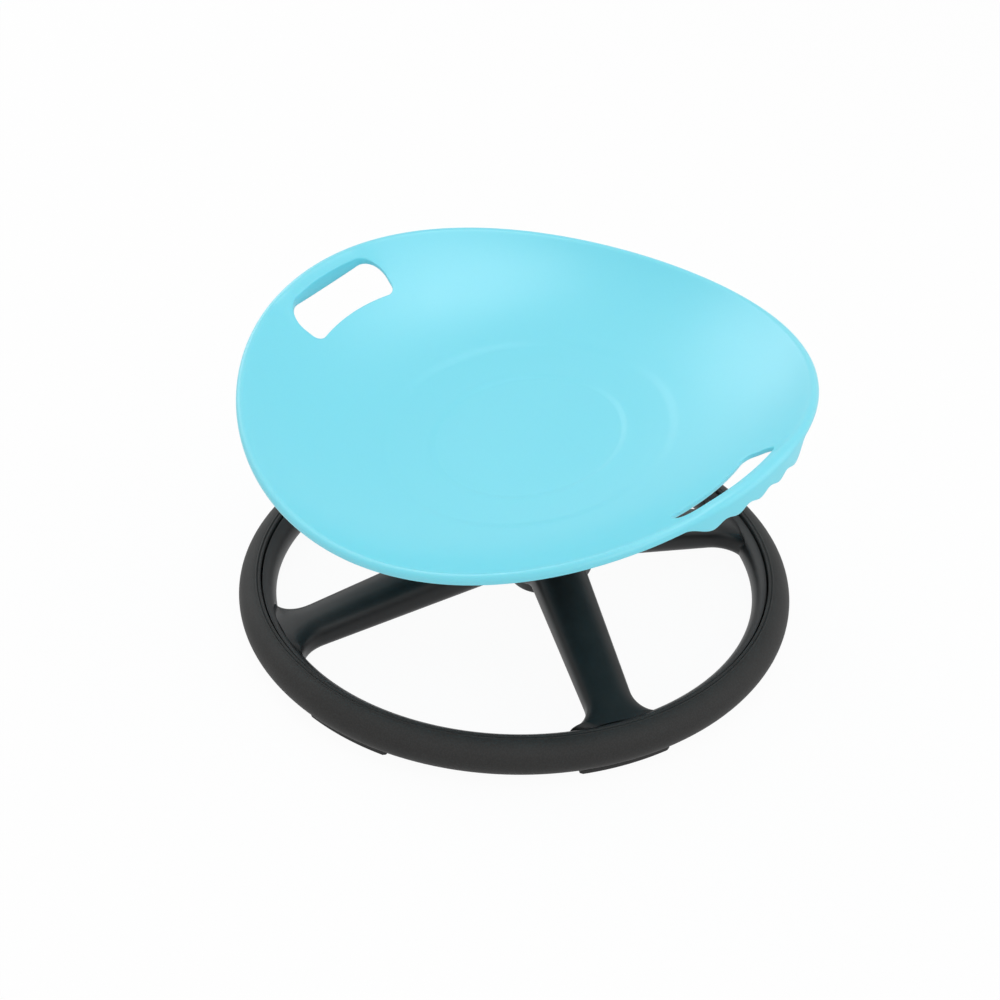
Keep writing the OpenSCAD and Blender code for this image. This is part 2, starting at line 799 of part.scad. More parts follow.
// Hand hole: a slot that follows the rim's curve, with rounded corners
module hand_hole() {
    deep = 2 * dish_depth;
    half = slot_w / 2 - slot_round;
    translate([0, 0, -deep / 2]) {
        rotate([0, 0, -slot_half_a])
            rotate_extrude(angle = 2 * slot_half_a)
                translate([slot_mid_r - slot_w / 2, 0])
                    square([slot_w, deep]);
        for (end = [-1, 1])
            rotate([0, 0, end * slot_half_a])
                translate([slot_mid_r, 0, 0]) {
                    translate([-half, end > 0 ? -eps : -slot_round, 0])
                        cube([2 * half, slot_round + eps, deep]);
                    for (x = [-half, half])
                        translate([x, 0, 0])
                            cylinder(r = slot_round, h = deep);
                }
    }
}

// Flange along the outer edge of a hand hole, under the handle's bar
module bar_flange() {
    r = slot_mid_r + slot_w / 2;
    p = (r + seat_a - end_curve_r) / seat_a;
    low = ring_point(p, 0, under_drop(p, 0))[2] - bar_flange_h;
    rotate([0, 0, -slot_half_a])
        rotate_extrude(angle = 2 * slot_half_a)
            translate([r, low])
                square([bar_flange_t, bar_flange_h + shell_t / 2]);
}

// Height of the middle of the shell's wall at distance r from the axis, in direction t
function mid_z(r, t) =
    let (p = r / mean_r)
    dish_z(p, t) - (recess(p) + under_drop(p, t)) / 2;

module rib(t) {
    r0 = wall_r - boss_wall / 2;
    steps = 5;
    low = boss_s - seat_reach + rib_clear;
    top = [for (i = [0:steps]) let (r = rib_r + (r0 - rib_r) * i / steps) [r, mid_z(r, t)]];
    rotate([0, 0, t])
        rotate([90, 0, 0])
            translate([0, 0, -rib_t / 2])
                linear_extrude(rib_t)
                    polygon(concat([[r0, low], [rib_r, mid_z(rib_r, t) - shell_t]], top));
}

module seat_shell() {
    wall_z = boss_s - seat_reach;
    color([0.53, 0.88, 0.95])
    on_seat()
        difference() {
            union() {
                dish();
                for (side = [-1, 1])
                    at_handle(side)
                        bar_flange();
                for (i = [0:rib_count - 1])
                    rib(360 / rib_count * (i + 0.5));
                translate([0, 0, wall_z])
                    ring_solid(wall_r - boss_wall, wall_r, mid_z(wall_r, 45) - wall_z);
                for (i = [0:bolt_count - 1])
                    rotate([0, 0, 360 / bolt_count * (i + 0.5)])
                        translate([bolt_circle_r, 0, wall_z])
                            cylinder(r = boss_r, h = mid_z(bolt_circle_r - boss_r, 45) - wall_z);
            }
            for (side = [-1, 1])
                at_handle(side)
                    hand_hole();
            for (i = [0:bolt_count - 1])
                rotate([0, 0, 360 / bolt_count * (i + 0.5)])
                    translate([bolt_circle_r, 0, wall_z - cut])
                        cylinder(r = insert_r, h = insert_l + cut + fit_gap);
        }
}

base_frame();
ring_cover();
foot_pads();
bearing_tube();
upper_outer_race();
lower_outer_race();
upper_seals();
lower_seals();
bearing_circlip();
bearing_cover();
hub_cap();
upper_cage();
upper_balls();
lower_cage();
lower_balls();
seat_shell();
seat_inserts();
mounting_plate();
seat_bolts();
bolt_washers();
spindle();
upper_inner_race();
lower_inner_race();
spacer_sleeve();
spindle_washer();
spindle_nut();
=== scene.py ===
"""Looks of a toddler's spinning seat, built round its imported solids.

A saddle-rimmed dish turns on a leaning ball-bearing spindle, carried by a ring base with four
spokes. The classes hold sizes in millimetres and angles in degrees; meshes are in metres.
"""

import logging
import math
from dataclasses import dataclass, field
from enum import Enum
from typing import Any, Sequence

import bmesh
import bpy
import numpy as np
from mathutils import Euler, Matrix, Vector
from mathutils.geometry import delaunay_2d_cdt


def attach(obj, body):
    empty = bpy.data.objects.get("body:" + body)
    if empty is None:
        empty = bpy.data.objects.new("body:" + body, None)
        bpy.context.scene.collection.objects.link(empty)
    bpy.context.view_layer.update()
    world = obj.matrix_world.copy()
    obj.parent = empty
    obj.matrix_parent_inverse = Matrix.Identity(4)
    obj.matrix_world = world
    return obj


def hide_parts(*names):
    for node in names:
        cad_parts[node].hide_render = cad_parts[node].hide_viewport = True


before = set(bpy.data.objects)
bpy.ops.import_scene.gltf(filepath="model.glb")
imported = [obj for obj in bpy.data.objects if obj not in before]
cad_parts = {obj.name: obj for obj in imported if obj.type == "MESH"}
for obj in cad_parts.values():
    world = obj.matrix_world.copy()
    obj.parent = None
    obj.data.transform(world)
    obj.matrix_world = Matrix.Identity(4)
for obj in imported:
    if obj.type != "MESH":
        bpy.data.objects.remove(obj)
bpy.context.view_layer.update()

MM = 0.001
WHITE = (1.0, 1.0, 1.0, 1.0)
log = logging.getLogger("spinning_seat")

Pair = tuple[float, float]
Triple = tuple[float, float, float]
Colour = Triple
Points = np.ndarray
Faces = list[tuple[int, ...]]
Profile = list[Pair]
Piece = bpy.types.Object
Socket = bpy.types.NodeSocket
Tree = bpy.types.NodeTree


class Body(Enum):
    """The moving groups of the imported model."""

    BASE = "base"
    SEAT = "seat"


class Join(Enum):
    """Ways in which helper solids change a piece."""

    UNITE = "UNION"
    CUT = "DIFFERENCE"


class Effect(Enum):
    """Surface effects that several finishes share, each one shader node group."""

    GRAIN = "moulded grain"
    HANDLING = "handling marks"
    DUST = "settled dust"


# Maths that the shapes share


def smooth(x: Points) -> Points:
    """Eases from 0 to 1 as x goes from 0 to 1."""
    x = np.clip(x, 0.0, 1.0)
    return x * x * (3 - 2 * x)


def bent(a: Points, b: Points, c: Points, f: float) -> Points:
    """Place at share f of a curve that runs from a to c and is pulled towards b."""
    return (1 - f) ** 2 * a + 2 * f * (1 - f) * b + f * f * c


def arc(x: float, y: float, r: float, start: float, end: float, steps: int) -> Profile:
    """Points on an arc.

    Args:
        x: Centre, across.
        y: Centre, up.
        r: Radius.
        start: First angle in degrees.
        end: Last angle in degrees.
        steps: Pieces that the arc is divided into.

    Returns:
        The points from the first angle to the last, both included.
    """
    angles = np.radians(np.linspace(start, end, steps + 1))
    return [(x + r * math.cos(a), y + r * math.sin(a)) for a in angles]


def turned(profile: Profile, segments: int) -> tuple[Points, Faces]:
    """Turns a closed profile about Z.

    Args:
        profile: Points (radius, height), counter-clockwise with the radius to the right.
        segments: Divisions of the full turn.

    Returns:
        The points and faces of the ring.
    """
    angles = np.linspace(0, 2 * math.pi, segments, endpoint=False)
    r, z = np.array(profile).T
    heights = np.tile(z, (segments, 1))
    points = np.stack([np.outer(np.cos(angles), r), np.outer(np.sin(angles), r), heights], -1)
    return points.reshape(-1, 3), grid_faces(segments, len(r), closed=True, round_rows=True)


def grid_faces(columns: int, rows: int, closed: bool, round_rows: bool = False) -> Faces:
    """Quads of a grid whose points are stored column by column.

    Args:
        columns: Number of columns.
        rows: Points in each column.
        closed: Whether the last column joins the first.
        round_rows: Whether the last row joins the first.

    Returns:
        The faces, outward where columns run counter-clockwise and rows outward.
    """
    faces: Faces = []
    for i in range(columns if closed else columns - 1):
        here, there = i * rows, (i + 1) % columns * rows
        for k in range(rows if round_rows else rows - 1):
            n = (k + 1) % rows
            faces.append((here + k, here + n, there + n, there + k))
    return faces


def lofted(sections: Points) -> tuple[Points, Faces]:
    """Closed solid through a row of closed sections.

    Args:
        sections: Array of sections, points and axes.

    Returns:
        The points and faces, both ends capped.
    """
    m, n = sections.shape[:2]
    faces = grid_faces(m, n, closed=False, round_rows=True)
    faces.append(tuple(range(n - 1, -1, -1)))
    faces.append(tuple((m - 1) * n + i for i in range(n)))
    return sections.reshape(-1, 3), faces


def loop_edges(start: int, count: int) -> list[tuple[int, int]]:
    """Edges of a closed loop of points."""
    return [(start + i, start + (i + 1) % count) for i in range(count)]


def inside(points: Points, outline: Points) -> Points:
    """Tells which plan points lie inside a closed outline.

    Args:
        points: Plan points.
        outline: Points of the outline, in order.

    Returns:
        True for each point inside.
    """
    a, b = outline, np.roll(outline, -1, 0)
    x, y = points[:, :1], points[:, 1:2]
    crosses = (a[:, 1] > y) != (b[:, 1] > y)
    rise = np.where(b[:, 1] == a[:, 1], 1.0, b[:, 1] - a[:, 1])
    at = a[:, 0] + (y - a[:, 1]) * (b[:, 0] - a[:, 0]) / rise
    return (crosses & (x < at)).sum(1) % 2 == 1


# Meshes and objects


def in_scene(name: str, data: Any) -> Piece:
    """Makes an object and links it to the scene.

    Args:
        name: Name of the object.
        data: Its mesh, camera or lamp.

    Returns:
        The object, at the origin.
    """
    piece = bpy.data.objects.new(name, data)
    bpy.context.scene.collection.objects.link(piece)
    return piece


def mesh_object(name: str, points: Points, faces: Faces, place: Matrix | None = None,
                edges: Sequence[tuple[int, int]] = ()) -> Piece:
    """Makes an object from points in millimetres.

    Args:
        name: Name of the piece.
        points: Points in millimetres.
        faces: Faces as tuples of point indices.
        place: Frame, in metres, that the points are in.
        edges: Edges that belong to no face.

    Returns:
        The object, at the origin with its place in its mesh.
    """
    mesh = bpy.data.meshes.new(name)
    mesh.from_pydata((np.asarray(points) * MM).tolist(), edges, faces)
    if place is not None:
        mesh.transform(place)
    mesh.validate()
    return in_scene(name, mesh)


def face_outward(piece: Piece) -> Piece:
    """Turns a closed mesh right side out if its volume comes out negative.

    Args:
        piece: Object with a closed mesh.

    Returns:
        The same object.
    """
    mesh = piece.data
    mesh.calc_loop_triangles()
    corners = np.array([[mesh.vertices[i].co for i in t.vertices] for t in mesh.loop_triangles])
    if np.einsum("ij,ij->i", corners[:, 0], np.cross(corners[:, 1], corners[:, 2])).sum() < 0:
        mesh.flip_normals()
    return piece


def shade(piece: Piece, angle: float = 40.0) -> None:
    """Shades a mesh smooth, with sharp edges kept crisp.

    Args:
        piece: Object to shade.
        angle: Edges sharper than this stay crisp.
    """
    mesh = piece.data
    mesh.polygons.foreach_set("use_smooth", [True] * len(mesh.polygons))
    mesh.set_sharp_from_angle(angle=math.radians(angle))
    mesh.update()


def settle(piece: Piece) -> Piece:
    """Turns an object's modifiers into plain mesh and removes them.

    Args:
        piece: Object with modifiers.

    Returns:
        The same object.
    """
    graph = bpy.context.evaluated_depsgraph_get()
    mesh = bpy.data.meshes.new_from_object(piece.evaluated_get(graph))
    piece.modifiers.clear()
    piece.data = mesh
    mesh.name = piece.name
    return piece


def discard(*pieces: Piece) -> None:
    """Removes helper objects and their meshes.

    Args:
        pieces: The helpers.
    """
    for piece in pieces:
        mesh = piece.data
        bpy.data.objects.remove(piece)
        bpy.data.meshes.remove(mesh)


def combine(base: Piece, others: Sequence[Piece], join: Join) -> None:
    """Unites others with base, or cuts them out of it.

    Args:
        base: Object that is changed.
        others: Closed helper objects, removed afterwards.
        join: What the helpers do.
    """
    for other in others:
        modifier = base.modifiers.new(join.value.title(), "BOOLEAN")
        modifier.operation = join.value
        modifier.solver = "MANIFOLD"
        modifier.object = other
    settle(base)
    discard(*others)


def weld(piece: Piece, gap: float = 0.02) -> None:
    """Merges points that lie close together and drops the slivers and folds between them.

    Args:
        piece: Object to clean.
        gap: Distance below which points are merged.
    """
    shape = bmesh.new()
    shape.from_mesh(piece.data)
    bmesh.ops.remove_doubles(shape, verts=shape.verts, dist=gap * MM)
    bmesh.ops.dissolve_degenerate(shape, edges=shape.edges, dist=gap * MM)
    bmesh.ops.triangulate(shape, faces=shape.faces)
    alike: dict[frozenset, list] = {}
    for face in shape.faces:
        alike.setdefault(frozenset(face.verts), []).append(face)
    folds = [face for faces in alike.values() if len(faces) > 1 for face in faces]
    bmesh.ops.delete(shape, geom=folds, context="FACES")
    shape.to_mesh(piece.data)
    shape.free()


# Finishes


class Wiring:
    """Adds and wires the nodes of one tree."""

    def __init__(self, tree: Tree) -> None:
        """Keeps the tree."""
        self.tree = tree

    def add(self, kind: str, inputs: dict[Any, Any] | None = None, **settings: Any) -> bpy.types.Node:
        """Adds a node.

        Args:
            kind: Type of the node.
            inputs: Values, or sockets to link from, by socket name or number.
            settings: Properties of the node.

        Returns:
            The new node.
        """
        node = self.tree.nodes.new(kind)
        for name, value in settings.items():
            setattr(node, name, value)
        for key, value in (inputs or {}).items():
            self.put(node.inputs[key], value)
        return node

    def put(self, socket: Socket, value: Any) -> None:
        """Links a socket from another one, or sets its value.

        Args:
            socket: Socket that takes the value.
            value: Another socket, or a plain value.
        """
        if isinstance(value, Socket):
            self.tree.links.new(value, socket)
        else:
            socket.default_value = value

    def math(self, operation: str, a: Any, b: Any = 0.0, clamp: bool = False) -> Socket:
        """Adds a Math node and returns its output."""
        return self.add("ShaderNodeMath", {0: a, 1: b}, operation=operation, use_clamp=clamp).outputs[0]

    def times(self, a: Any, b: Any) -> Socket:
        """Multiplies two values."""
        return self.math("MULTIPLY", a, b)

    def plus(self, a: Any, b: Any, clamp: bool = False) -> Socket:
        """Adds two values; a clamped sum stays within 0 and 1."""
        return self.math("ADD", a, b, clamp)

    def mix(self, share: Any, first: Any, second: Any) -> Socket:
        """Adds a colour mix and returns its output."""
        return self.add("ShaderNodeMix", {0: share, 6: first, 7: second}, data_type="RGBA").outputs[2]

    def span(self, value: Any, limits: Pair, first: float = 0.0, last: float = 1.0) -> Socket:
        """Maps the limits to first and last, with soft ends, and returns the output."""
        inputs = {0: value, 1: limits[0], 2: limits[1], 3: first, 4: last}
        return self.add("ShaderNodeMapRange", inputs, interpolation_type="SMOOTHSTEP").outputs[0]

    def noise(self, place: Any, scale: Any, detail: float = 2.0, rough: float = 0.5) -> Socket:
        """Adds a noise texture and returns its value."""
        inputs = {"Vector": place, "Scale": scale, "Detail": detail, "Roughness": rough}
        return self.add("ShaderNodeTexNoise", inputs).outputs[0]


@dataclass
class Effects:
    """Builds each shared effect once, as a shader node group."""

    pebble_warp: float = 0.6
    pebble_span: Pair = (0.15, 0.75)
    fine_scale: float = 2.7
    fine_tone: float = 0.4
    raised_span: Pair = (0.505, 0.56)
    patch_span: Pair = (0.5, 0.72)
    worn_span: Pair = (0.3, 0.6)
    scuff_stretch: Triple = (9.0, 1.4, 3.0)
    scuff_scale: float = 55.0
    scuff_span: Pair = (0.63, 0.7)
    scuffed_span: Pair = (0.45, 0.65)
    facing_span: Pair = (0.35, 1.0)
    film_scale: float = 38.0
    film_span: Pair = (0.3, 0.75)

    def __post_init__(self) -> None:
        """Builds every group."""
        builders = {Effect.GRAIN: self.grain, Effect.HANDLING: self.handling, Effect.DUST: self.dust}
        self.trees = {effect: build() for effect, build in builders.items()}

    @staticmethod
    def group(effect: Effect, inputs: Sequence[str], outputs: Sequence[str]) -> tuple[Wiring, Any, Any]:
        """Starts a group that takes a place and numbers and gives numbers.

        Args:
            effect: The effect that the group makes.
            inputs: Names of its number inputs.
            outputs: Names of its number outputs.

        Returns:
            The group's wiring, the sockets that feed it and the sockets that it fills.
        """
        tree = bpy.data.node_groups.new(effect.value, "ShaderNodeTree")
        tree.interface.new_socket(name="Place", in_out="INPUT", socket_type="NodeSocketVector")
        for name in inputs:
            tree.interface.new_socket(name=name, in_out="INPUT", socket_type="NodeSocketFloat")
        for name in outputs:
            tree.interface.new_socket(name=name, in_out="OUTPUT", socket_type="NodeSocketFloat")
        wire = Wiring(tree)
        return wire, wire.add("NodeGroupInput").outputs, wire.add("NodeGroupOutput").inputs

    def grain(self) -> Tree:
        """Moulded texture: rounded pebbles with finer noise between them.

        Returns:
            The group.
        """
        wire, source, target = self.group(
            Effect.GRAIN, ["Cells per metre", "Fineness"], ["Height", "Tone"])
        place, cells, share = source["Place"], source["Cells per metre"], source["Fineness"]
        warp = wire.add("ShaderNodeTexNoise", {"Vector": place, "Scale": cells, "Detail": 1.0})
        shift = wire.add("ShaderNodeVectorMath", {0: warp.outputs["Color"], "Scale": self.pebble_warp * MM},
                         operation="SCALE")
        moved = wire.add("ShaderNodeVectorMath", {0: place, 1: shift.outputs[0]}, operation="ADD")
        pebble = wire.add("ShaderNodeTexVoronoi", {"Vector": moved.outputs[0], "Scale": cells}, feature="F1")
        dome = wire.span(pebble.outputs["Distance"], self.pebble_span, first=1.0, last=0.0)
        fine = wire.noise(place, wire.times(cells, self.fine_scale), detail=3.0, rough=0.6)
        rounded = wire.times(dome, wire.math("SUBTRACT", 1.0, share))
        wire.put(target["Height"], wire.plus(rounded, wire.times(fine, share)))
        tone = wire.plus(wire.times(dome, 1 - self.fine_tone), wire.times(fine, self.fine_tone))
        wire.put(target["Tone"], tone)
        return wire.tree

    def handling(self) -> Tree:
        """Rubbed patches, strongest along raised edges, and faint scuffs.

        Returns:
            The group.
        """
        wire, source, target = self.group(
            Effect.HANDLING, ["Amount", "Patches per metre"], ["Rub", "Scuff"])
        place, amount = source["Place"], source["Amount"]
        raised = wire.span(wire.add("ShaderNodeNewGeometry").outputs["Pointiness"], self.raised_span)
        cloud = wire.noise(place, source["Patches per metre"], detail=4.0, rough=0.6)
        patch = wire.span(cloud, self.patch_span)
        edge = wire.times(raised, wire.span(cloud, self.worn_span))
        wire.put(target["Rub"], wire.times(wire.math("MAXIMUM", patch, edge), amount))
        stretch = wire.add("ShaderNodeMapping", {"Vector": place, "Scale": self.scuff_stretch})
        lines = wire.noise(stretch.outputs[0], self.scuff_scale, detail=5.0, rough=0.75)
        scuff = wire.times(wire.span(lines, self.scuff_span), wire.span(cloud, self.scuffed_span))
        wire.put(target["Scuff"], wire.times(scuff, amount))
        return wire.tree

    def dust(self) -> Tree:
        """Thin film on surfaces that face up, broken into soft patches.

        Returns:
            The group.
        """
        wire, source, target = self.group(Effect.DUST, ["Amount"], ["Film"])
        normal = wire.add("ShaderNodeNewGeometry").outputs["Normal"]
        up = wire.add("ShaderNodeSeparateXYZ", {0: normal}).outputs["Z"]
        cloud = wire.noise(source["Place"], self.film_scale, detail=5.0, rough=0.6)
        film = wire.times(wire.span(up, self.facing_span), wire.span(cloud, self.film_span))
        wire.put(target["Film"], wire.times(film, source["Amount"]))
        return wire.tree

    def place(self, wire: Wiring, effect: Effect, inputs: dict[str, Any]) -> Any:
        """Puts an effect into a material.

        Args:
            wire: The material's wiring.
            effect: The effect.
            inputs: Its values by socket name.

        Returns:
            The sockets that the effect fills.
        """
        return wire.add("ShaderNodeGroup", inputs, node_tree=self.trees[effect]).outputs


def rgba(colour: Colour) -> tuple[float, float, float, float]:
    """A colour with full alpha."""
    return (*colour, 1.0)


@dataclass(frozen=True)
class Surface:
    """What every finish has: a name, two colours that it varies between and a roughness."""

    name: str
    colour: Colour
    second: Colour
    roughness: float

    def start(self) -> tuple[bpy.types.Material, Wiring, Any, Socket]:
        """Starts the material.

        Returns:
            The material, its wiring, its shader's inputs and the place on the object.
        """
        material = bpy.data.materials.new(self.name)
        material.use_nodes = True
        wire = Wiring(material.node_tree)
        shader = material.node_tree.nodes["Principled BSDF"]
        return material, wire, shader.inputs, wire.add("ShaderNodeTexCoord").outputs["Object"]


@dataclass(frozen=True)
class Moulded(Surface):
    """A moulded plastic or rubber."""

    grain_mm: float
    grain_depth_mm: float
    fineness: float = 0.5
    tone: float = 0.25
    rub: float = 0.3
    dust: float = 0.12
    specular: float = 0.5
    subsurface: float = 0.0
    subsurface_mm: float = 3.0
    patches: float = 24.0
    flow_scale: float = 9.0
    flow_share: float = 0.35
    scuff_share: float = 0.5
    rub_gloss: float = 0.12
    dust_rough: float = 0.3
    tone_rough: float = 0.08
    dust_colour: Colour = (0.62, 0.6, 0.57)

    def build(self, effects: Effects) -> bpy.types.Material:
        """Builds the material.

        Args:
            effects: The shared effects.

        Returns:
            The material.
        """
        material, wire, shader, place = self.start()
        grain = effects.place(wire, Effect.GRAIN, {
            "Place": place, "Cells per metre": 1 / (self.grain_mm * MM), "Fineness": self.fineness})
        marks = effects.place(wire, Effect.HANDLING, {
            "Place": place, "Amount": self.rub, "Patches per metre": self.patches})
        film = effects.place(wire, Effect.DUST, {"Place": place, "Amount": self.dust})["Film"]
        flow = wire.times(wire.noise(place, self.flow_scale, detail=3.0), self.flow_share)
        share = wire.plus(wire.times(grain["Tone"], self.tone), wire.times(flow, self.tone), clamp=True)
        base = wire.mix(share, rgba(self.colour), rgba(self.second))
        worn = wire.mix(wire.times(marks["Scuff"], self.scuff_share), base, rgba(self.second))
        wire.put(shader["Base Color"], wire.mix(film, worn, rgba(self.dust_colour)))
        gloss = wire.math("SUBTRACT", self.roughness, wire.times(marks["Rub"], self.rub_gloss))
        gloss = wire.plus(gloss, wire.times(film, self.dust_rough))
        uneven = wire.times(wire.math("SUBTRACT", grain["Tone"], 0.5), self.tone_rough)
        wire.put(shader["Roughness"], wire.plus(gloss, uneven, clamp=True))
        bump = wire.add("ShaderNodeBump", {
            "Height": grain["Height"], "Distance": self.grain_depth_mm * MM, "Strength": 1.0})
        wire.put(shader["Normal"], bump.outputs[0])
        wire.put(shader["Specular IOR Level"], self.specular)
        if self.subsurface:
            wire.put(shader["Subsurface Weight"], self.subsurface)
            wire.put(shader["Subsurface Scale"], self.subsurface_mm * MM)
        return material


@dataclass(frozen=True)
class Metal(Surface):
    """A machined, plated or sprung metal."""

    mark_mm: float
    mark_depth_mm: float = 0.01
    mark_strength: float = 0.6
    rub: float = 0.4
    dust: float = 0.05
    patches: float = 60.0
    lathe_stretch: Triple = (0.15, 0.15, 1.0)
    stain_scale: float = 45.0
    stain_span: Pair = (0.4, 0.75)
    stain_share: float = 0.6
    lathe_rough: float = 0.12
    rub_rough: float = 0.1
    dust_colour: Colour = (0.5, 0.49, 0.47)

    def build(self, effects: Effects) -> bpy.types.Material:
        """Builds the material.

        Args:
            effects: The shared effects.

        Returns:
            The material.
        """
        material, wire, shader, place = self.start()
        marks = effects.place(wire, Effect.HANDLING, {
            "Place": place, "Amount": self.rub, "Patches per metre": self.patches})
        film = effects.place(wire, Effect.DUST, {"Place": place, "Amount": self.dust})["Film"]
        across = wire.add("ShaderNodeMapping", {"Vector": place, "Scale": self.lathe_stretch})
        lathe = wire.noise(across.outputs[0], 1 / (self.mark_mm * MM), detail=2.0, rough=0.6)
        stain = wire.span(wire.noise(place, self.stain_scale, detail=4.0, rough=0.6), self.stain_span)
        base = wire.mix(wire.times(stain, self.stain_share), rgba(self.colour), rgba(self.second))
        wire.put(shader["Base Color"], wire.mix(film, base, rgba(self.dust_colour)))
        rough = wire.plus(self.roughness, wire.times(lathe, self.lathe_rough))
        rough = wire.plus(rough, wire.times(marks["Rub"], self.rub_rough), clamp=True)
        wire.put(shader["Roughness"], rough)
        wire.put(shader["Metallic"], 1.0)
        bump = wire.add("ShaderNodeBump", {
            "Height": lathe, "Distance": self.mark_depth_mm * MM, "Strength": self.mark_strength})
        wire.put(shader["Normal"], bump.outputs[0])
        return material


class Finish(Enum):
    """The finishes of the object, each under the record's slot name."""

    seat_plastic = Moulded("seat plastic", (0.168, 0.722, 0.866), (0.232, 0.78, 0.902), 0.36, 0.8, 0.006,
                           tone=0.3, rub=0.2, dust=0.0, specular=0.85, subsurface=0.06)
    frame_plastic = Moulded("frame plastic", (0.007, 0.008, 0.0085), (0.014, 0.015, 0.016), 0.42, 0.9,
                            0.012, tone=0.4, dust=0.008, specular=0.29)
    cover_plastic = Moulded("cover plastic", (0.019, 0.0187, 0.0183), (0.045, 0.0442, 0.043), 0.6, 1.3,
                            0.07, fineness=0.35, tone=0.55, dust=0.008, specular=0.22)
    pad_rubber = Moulded("pad rubber", (0.014, 0.014, 0.014), (0.03, 0.03, 0.03), 0.8, 0.7, 0.03,
                         dust=0.05)
    seal_rubber = Moulded("seal rubber", (0.012, 0.012, 0.013), (0.03, 0.03, 0.03), 0.6, 0.5, 0.01,
                          dust=0.03)
    plate_paint = Moulded("plate paint", (0.02, 0.02, 0.022), (0.05, 0.05, 0.052), 0.45, 0.6, 0.02,
                          dust=0.04)
    cage_nylon = Moulded("cage nylon", (0.66, 0.62, 0.5), (0.75, 0.71, 0.6), 0.45, 0.5, 0.008, dust=0.0)
    bearing_steel = Metal("bearing steel", (0.72, 0.72, 0.73), (0.55, 0.55, 0.56), 0.16, 0.4)
    shaft_steel = Metal("shaft steel", (0.6, 0.6, 0.61), (0.42, 0.42, 0.43), 0.28, 0.6)
    spring_steel = Metal("spring steel", (0.2, 0.2, 0.22), (0.12, 0.12, 0.13), 0.35, 0.5)
    insert_brass = Metal("insert brass", (0.78, 0.57, 0.25), (0.55, 0.38, 0.16), 0.28, 0.5)


# Patterns


def tree_mesh(tree: Tree, name: str, values: dict[str, Any]) -> Piece:
    """Runs a Geometry Nodes tree once and keeps its result as a plain mesh.

    Args:
        tree: The tree, whose inputs are found by name and set by identifier.
        name: Name of the object.
        values: Input values by name.

    Returns:
        The object with its plain mesh.
    """
    piece = in_scene(name, bpy.data.meshes.new(name))
    modifier = piece.modifiers.new(name, "NODES")
    modifier.node_group = tree
    for item in tree.interface.items_tree:
        if item.item_type == "SOCKET" and item.in_out == "INPUT" and item.name in values:
            modifier[item.identifier] = values[item.name]
    bpy.context.view_layer.update()
    return settle(piece)


class Patterns:
    """Geometry Nodes trees for what repeats round an axis or follows a circle."""

    def __init__(self) -> None:
        """Builds both trees."""
        self.ring = self.ring_tree()
        self.sweep = self.sweep_tree()

    @staticmethod
    def start(name: str, inputs: dict[str, str]) -> tuple[Wiring, Any]:
        """Starts a tree.

        Args:
            name: Name of the tree.
            inputs: Socket kinds by input name.

        Returns:
            The tree's wiring and the sockets that feed it.
        """
        tree = bpy.data.node_groups.new(name, "GeometryNodeTree")
        tree.is_modifier = True
        for label, kind in inputs.items():
            tree.interface.new_socket(name=label, in_out="INPUT", socket_type="NodeSocket" + kind)
        tree.interface.new_socket(name="Geometry", in_out="OUTPUT", socket_type="NodeSocketGeometry")
        wire = Wiring(tree)
        return wire, wire.add("NodeGroupInput").outputs

    @staticmethod
    def end(wire: Wiring, shape: Socket, material: Socket) -> Tree:
        """Closes a tree with real geometry, its material and the output.

        Args:
            wire: The tree's wiring.
            shape: The geometry.
            material: Its material.

        Returns:
            The tree.
        """
        real = wire.add("GeometryNodeRealizeInstances", {0: shape})
        dressed = wire.add("GeometryNodeSetMaterial", {"Geometry": real.outputs[0], "Material": material})
        wire.add("NodeGroupOutput", {0: dressed.outputs[0]})
        return wire.tree

    def ring_tree(self) -> Tree:
        """Copies of one shape, turned in equal steps about Z.

        Returns:
            The tree.
        """
        wire, source = self.start("copies round an axis", {
            "Shape": "Object", "Count": "Int", "First angle": "Float", "Material": "Material"})
        points = wire.add("GeometryNodePoints", {"Count": source["Count"], "Position": (0.0, 0.0, 0.0)})
        step = wire.math("DIVIDE", 2 * math.pi, source["Count"])
        angle = wire.times(wire.add("GeometryNodeInputIndex").outputs[0], step)
        turn = wire.add("ShaderNodeCombineXYZ", {"Z": wire.plus(angle, source["First angle"])})
        shape = wire.add("GeometryNodeObjectInfo", {"Object": source["Shape"]})
        copies = wire.add("GeometryNodeInstanceOnPoints", {
            "Points": points.outputs[0], "Instance": shape.outputs["Geometry"], "Rotation": turn.outputs[0]})
        return self.end(wire, copies.outputs[0], source["Material"])

    def sweep_tree(self) -> Tree:
        """A closed outline carried round a circle.

        Returns:
            The tree.
        """
        wire, source = self.start("outline round a circle", {
            "Outline": "Object", "Radius": "Float", "Divisions": "Int", "Material": "Material"})
        outline = wire.add("GeometryNodeObjectInfo", {"Object": source["Outline"]})
        section = wire.add("GeometryNodeMeshToCurve", {"Mesh": outline.outputs["Geometry"]})
        path = wire.add("GeometryNodeCurvePrimitiveCircle", {
            "Resolution": source["Divisions"], "Radius": source["Radius"]})
        swept = wire.add("GeometryNodeCurveToMesh", {
            "Curve": path.outputs[0], "Profile Curve": section.outputs[0]})
        return self.end(wire, swept.outputs[0], source["Material"])


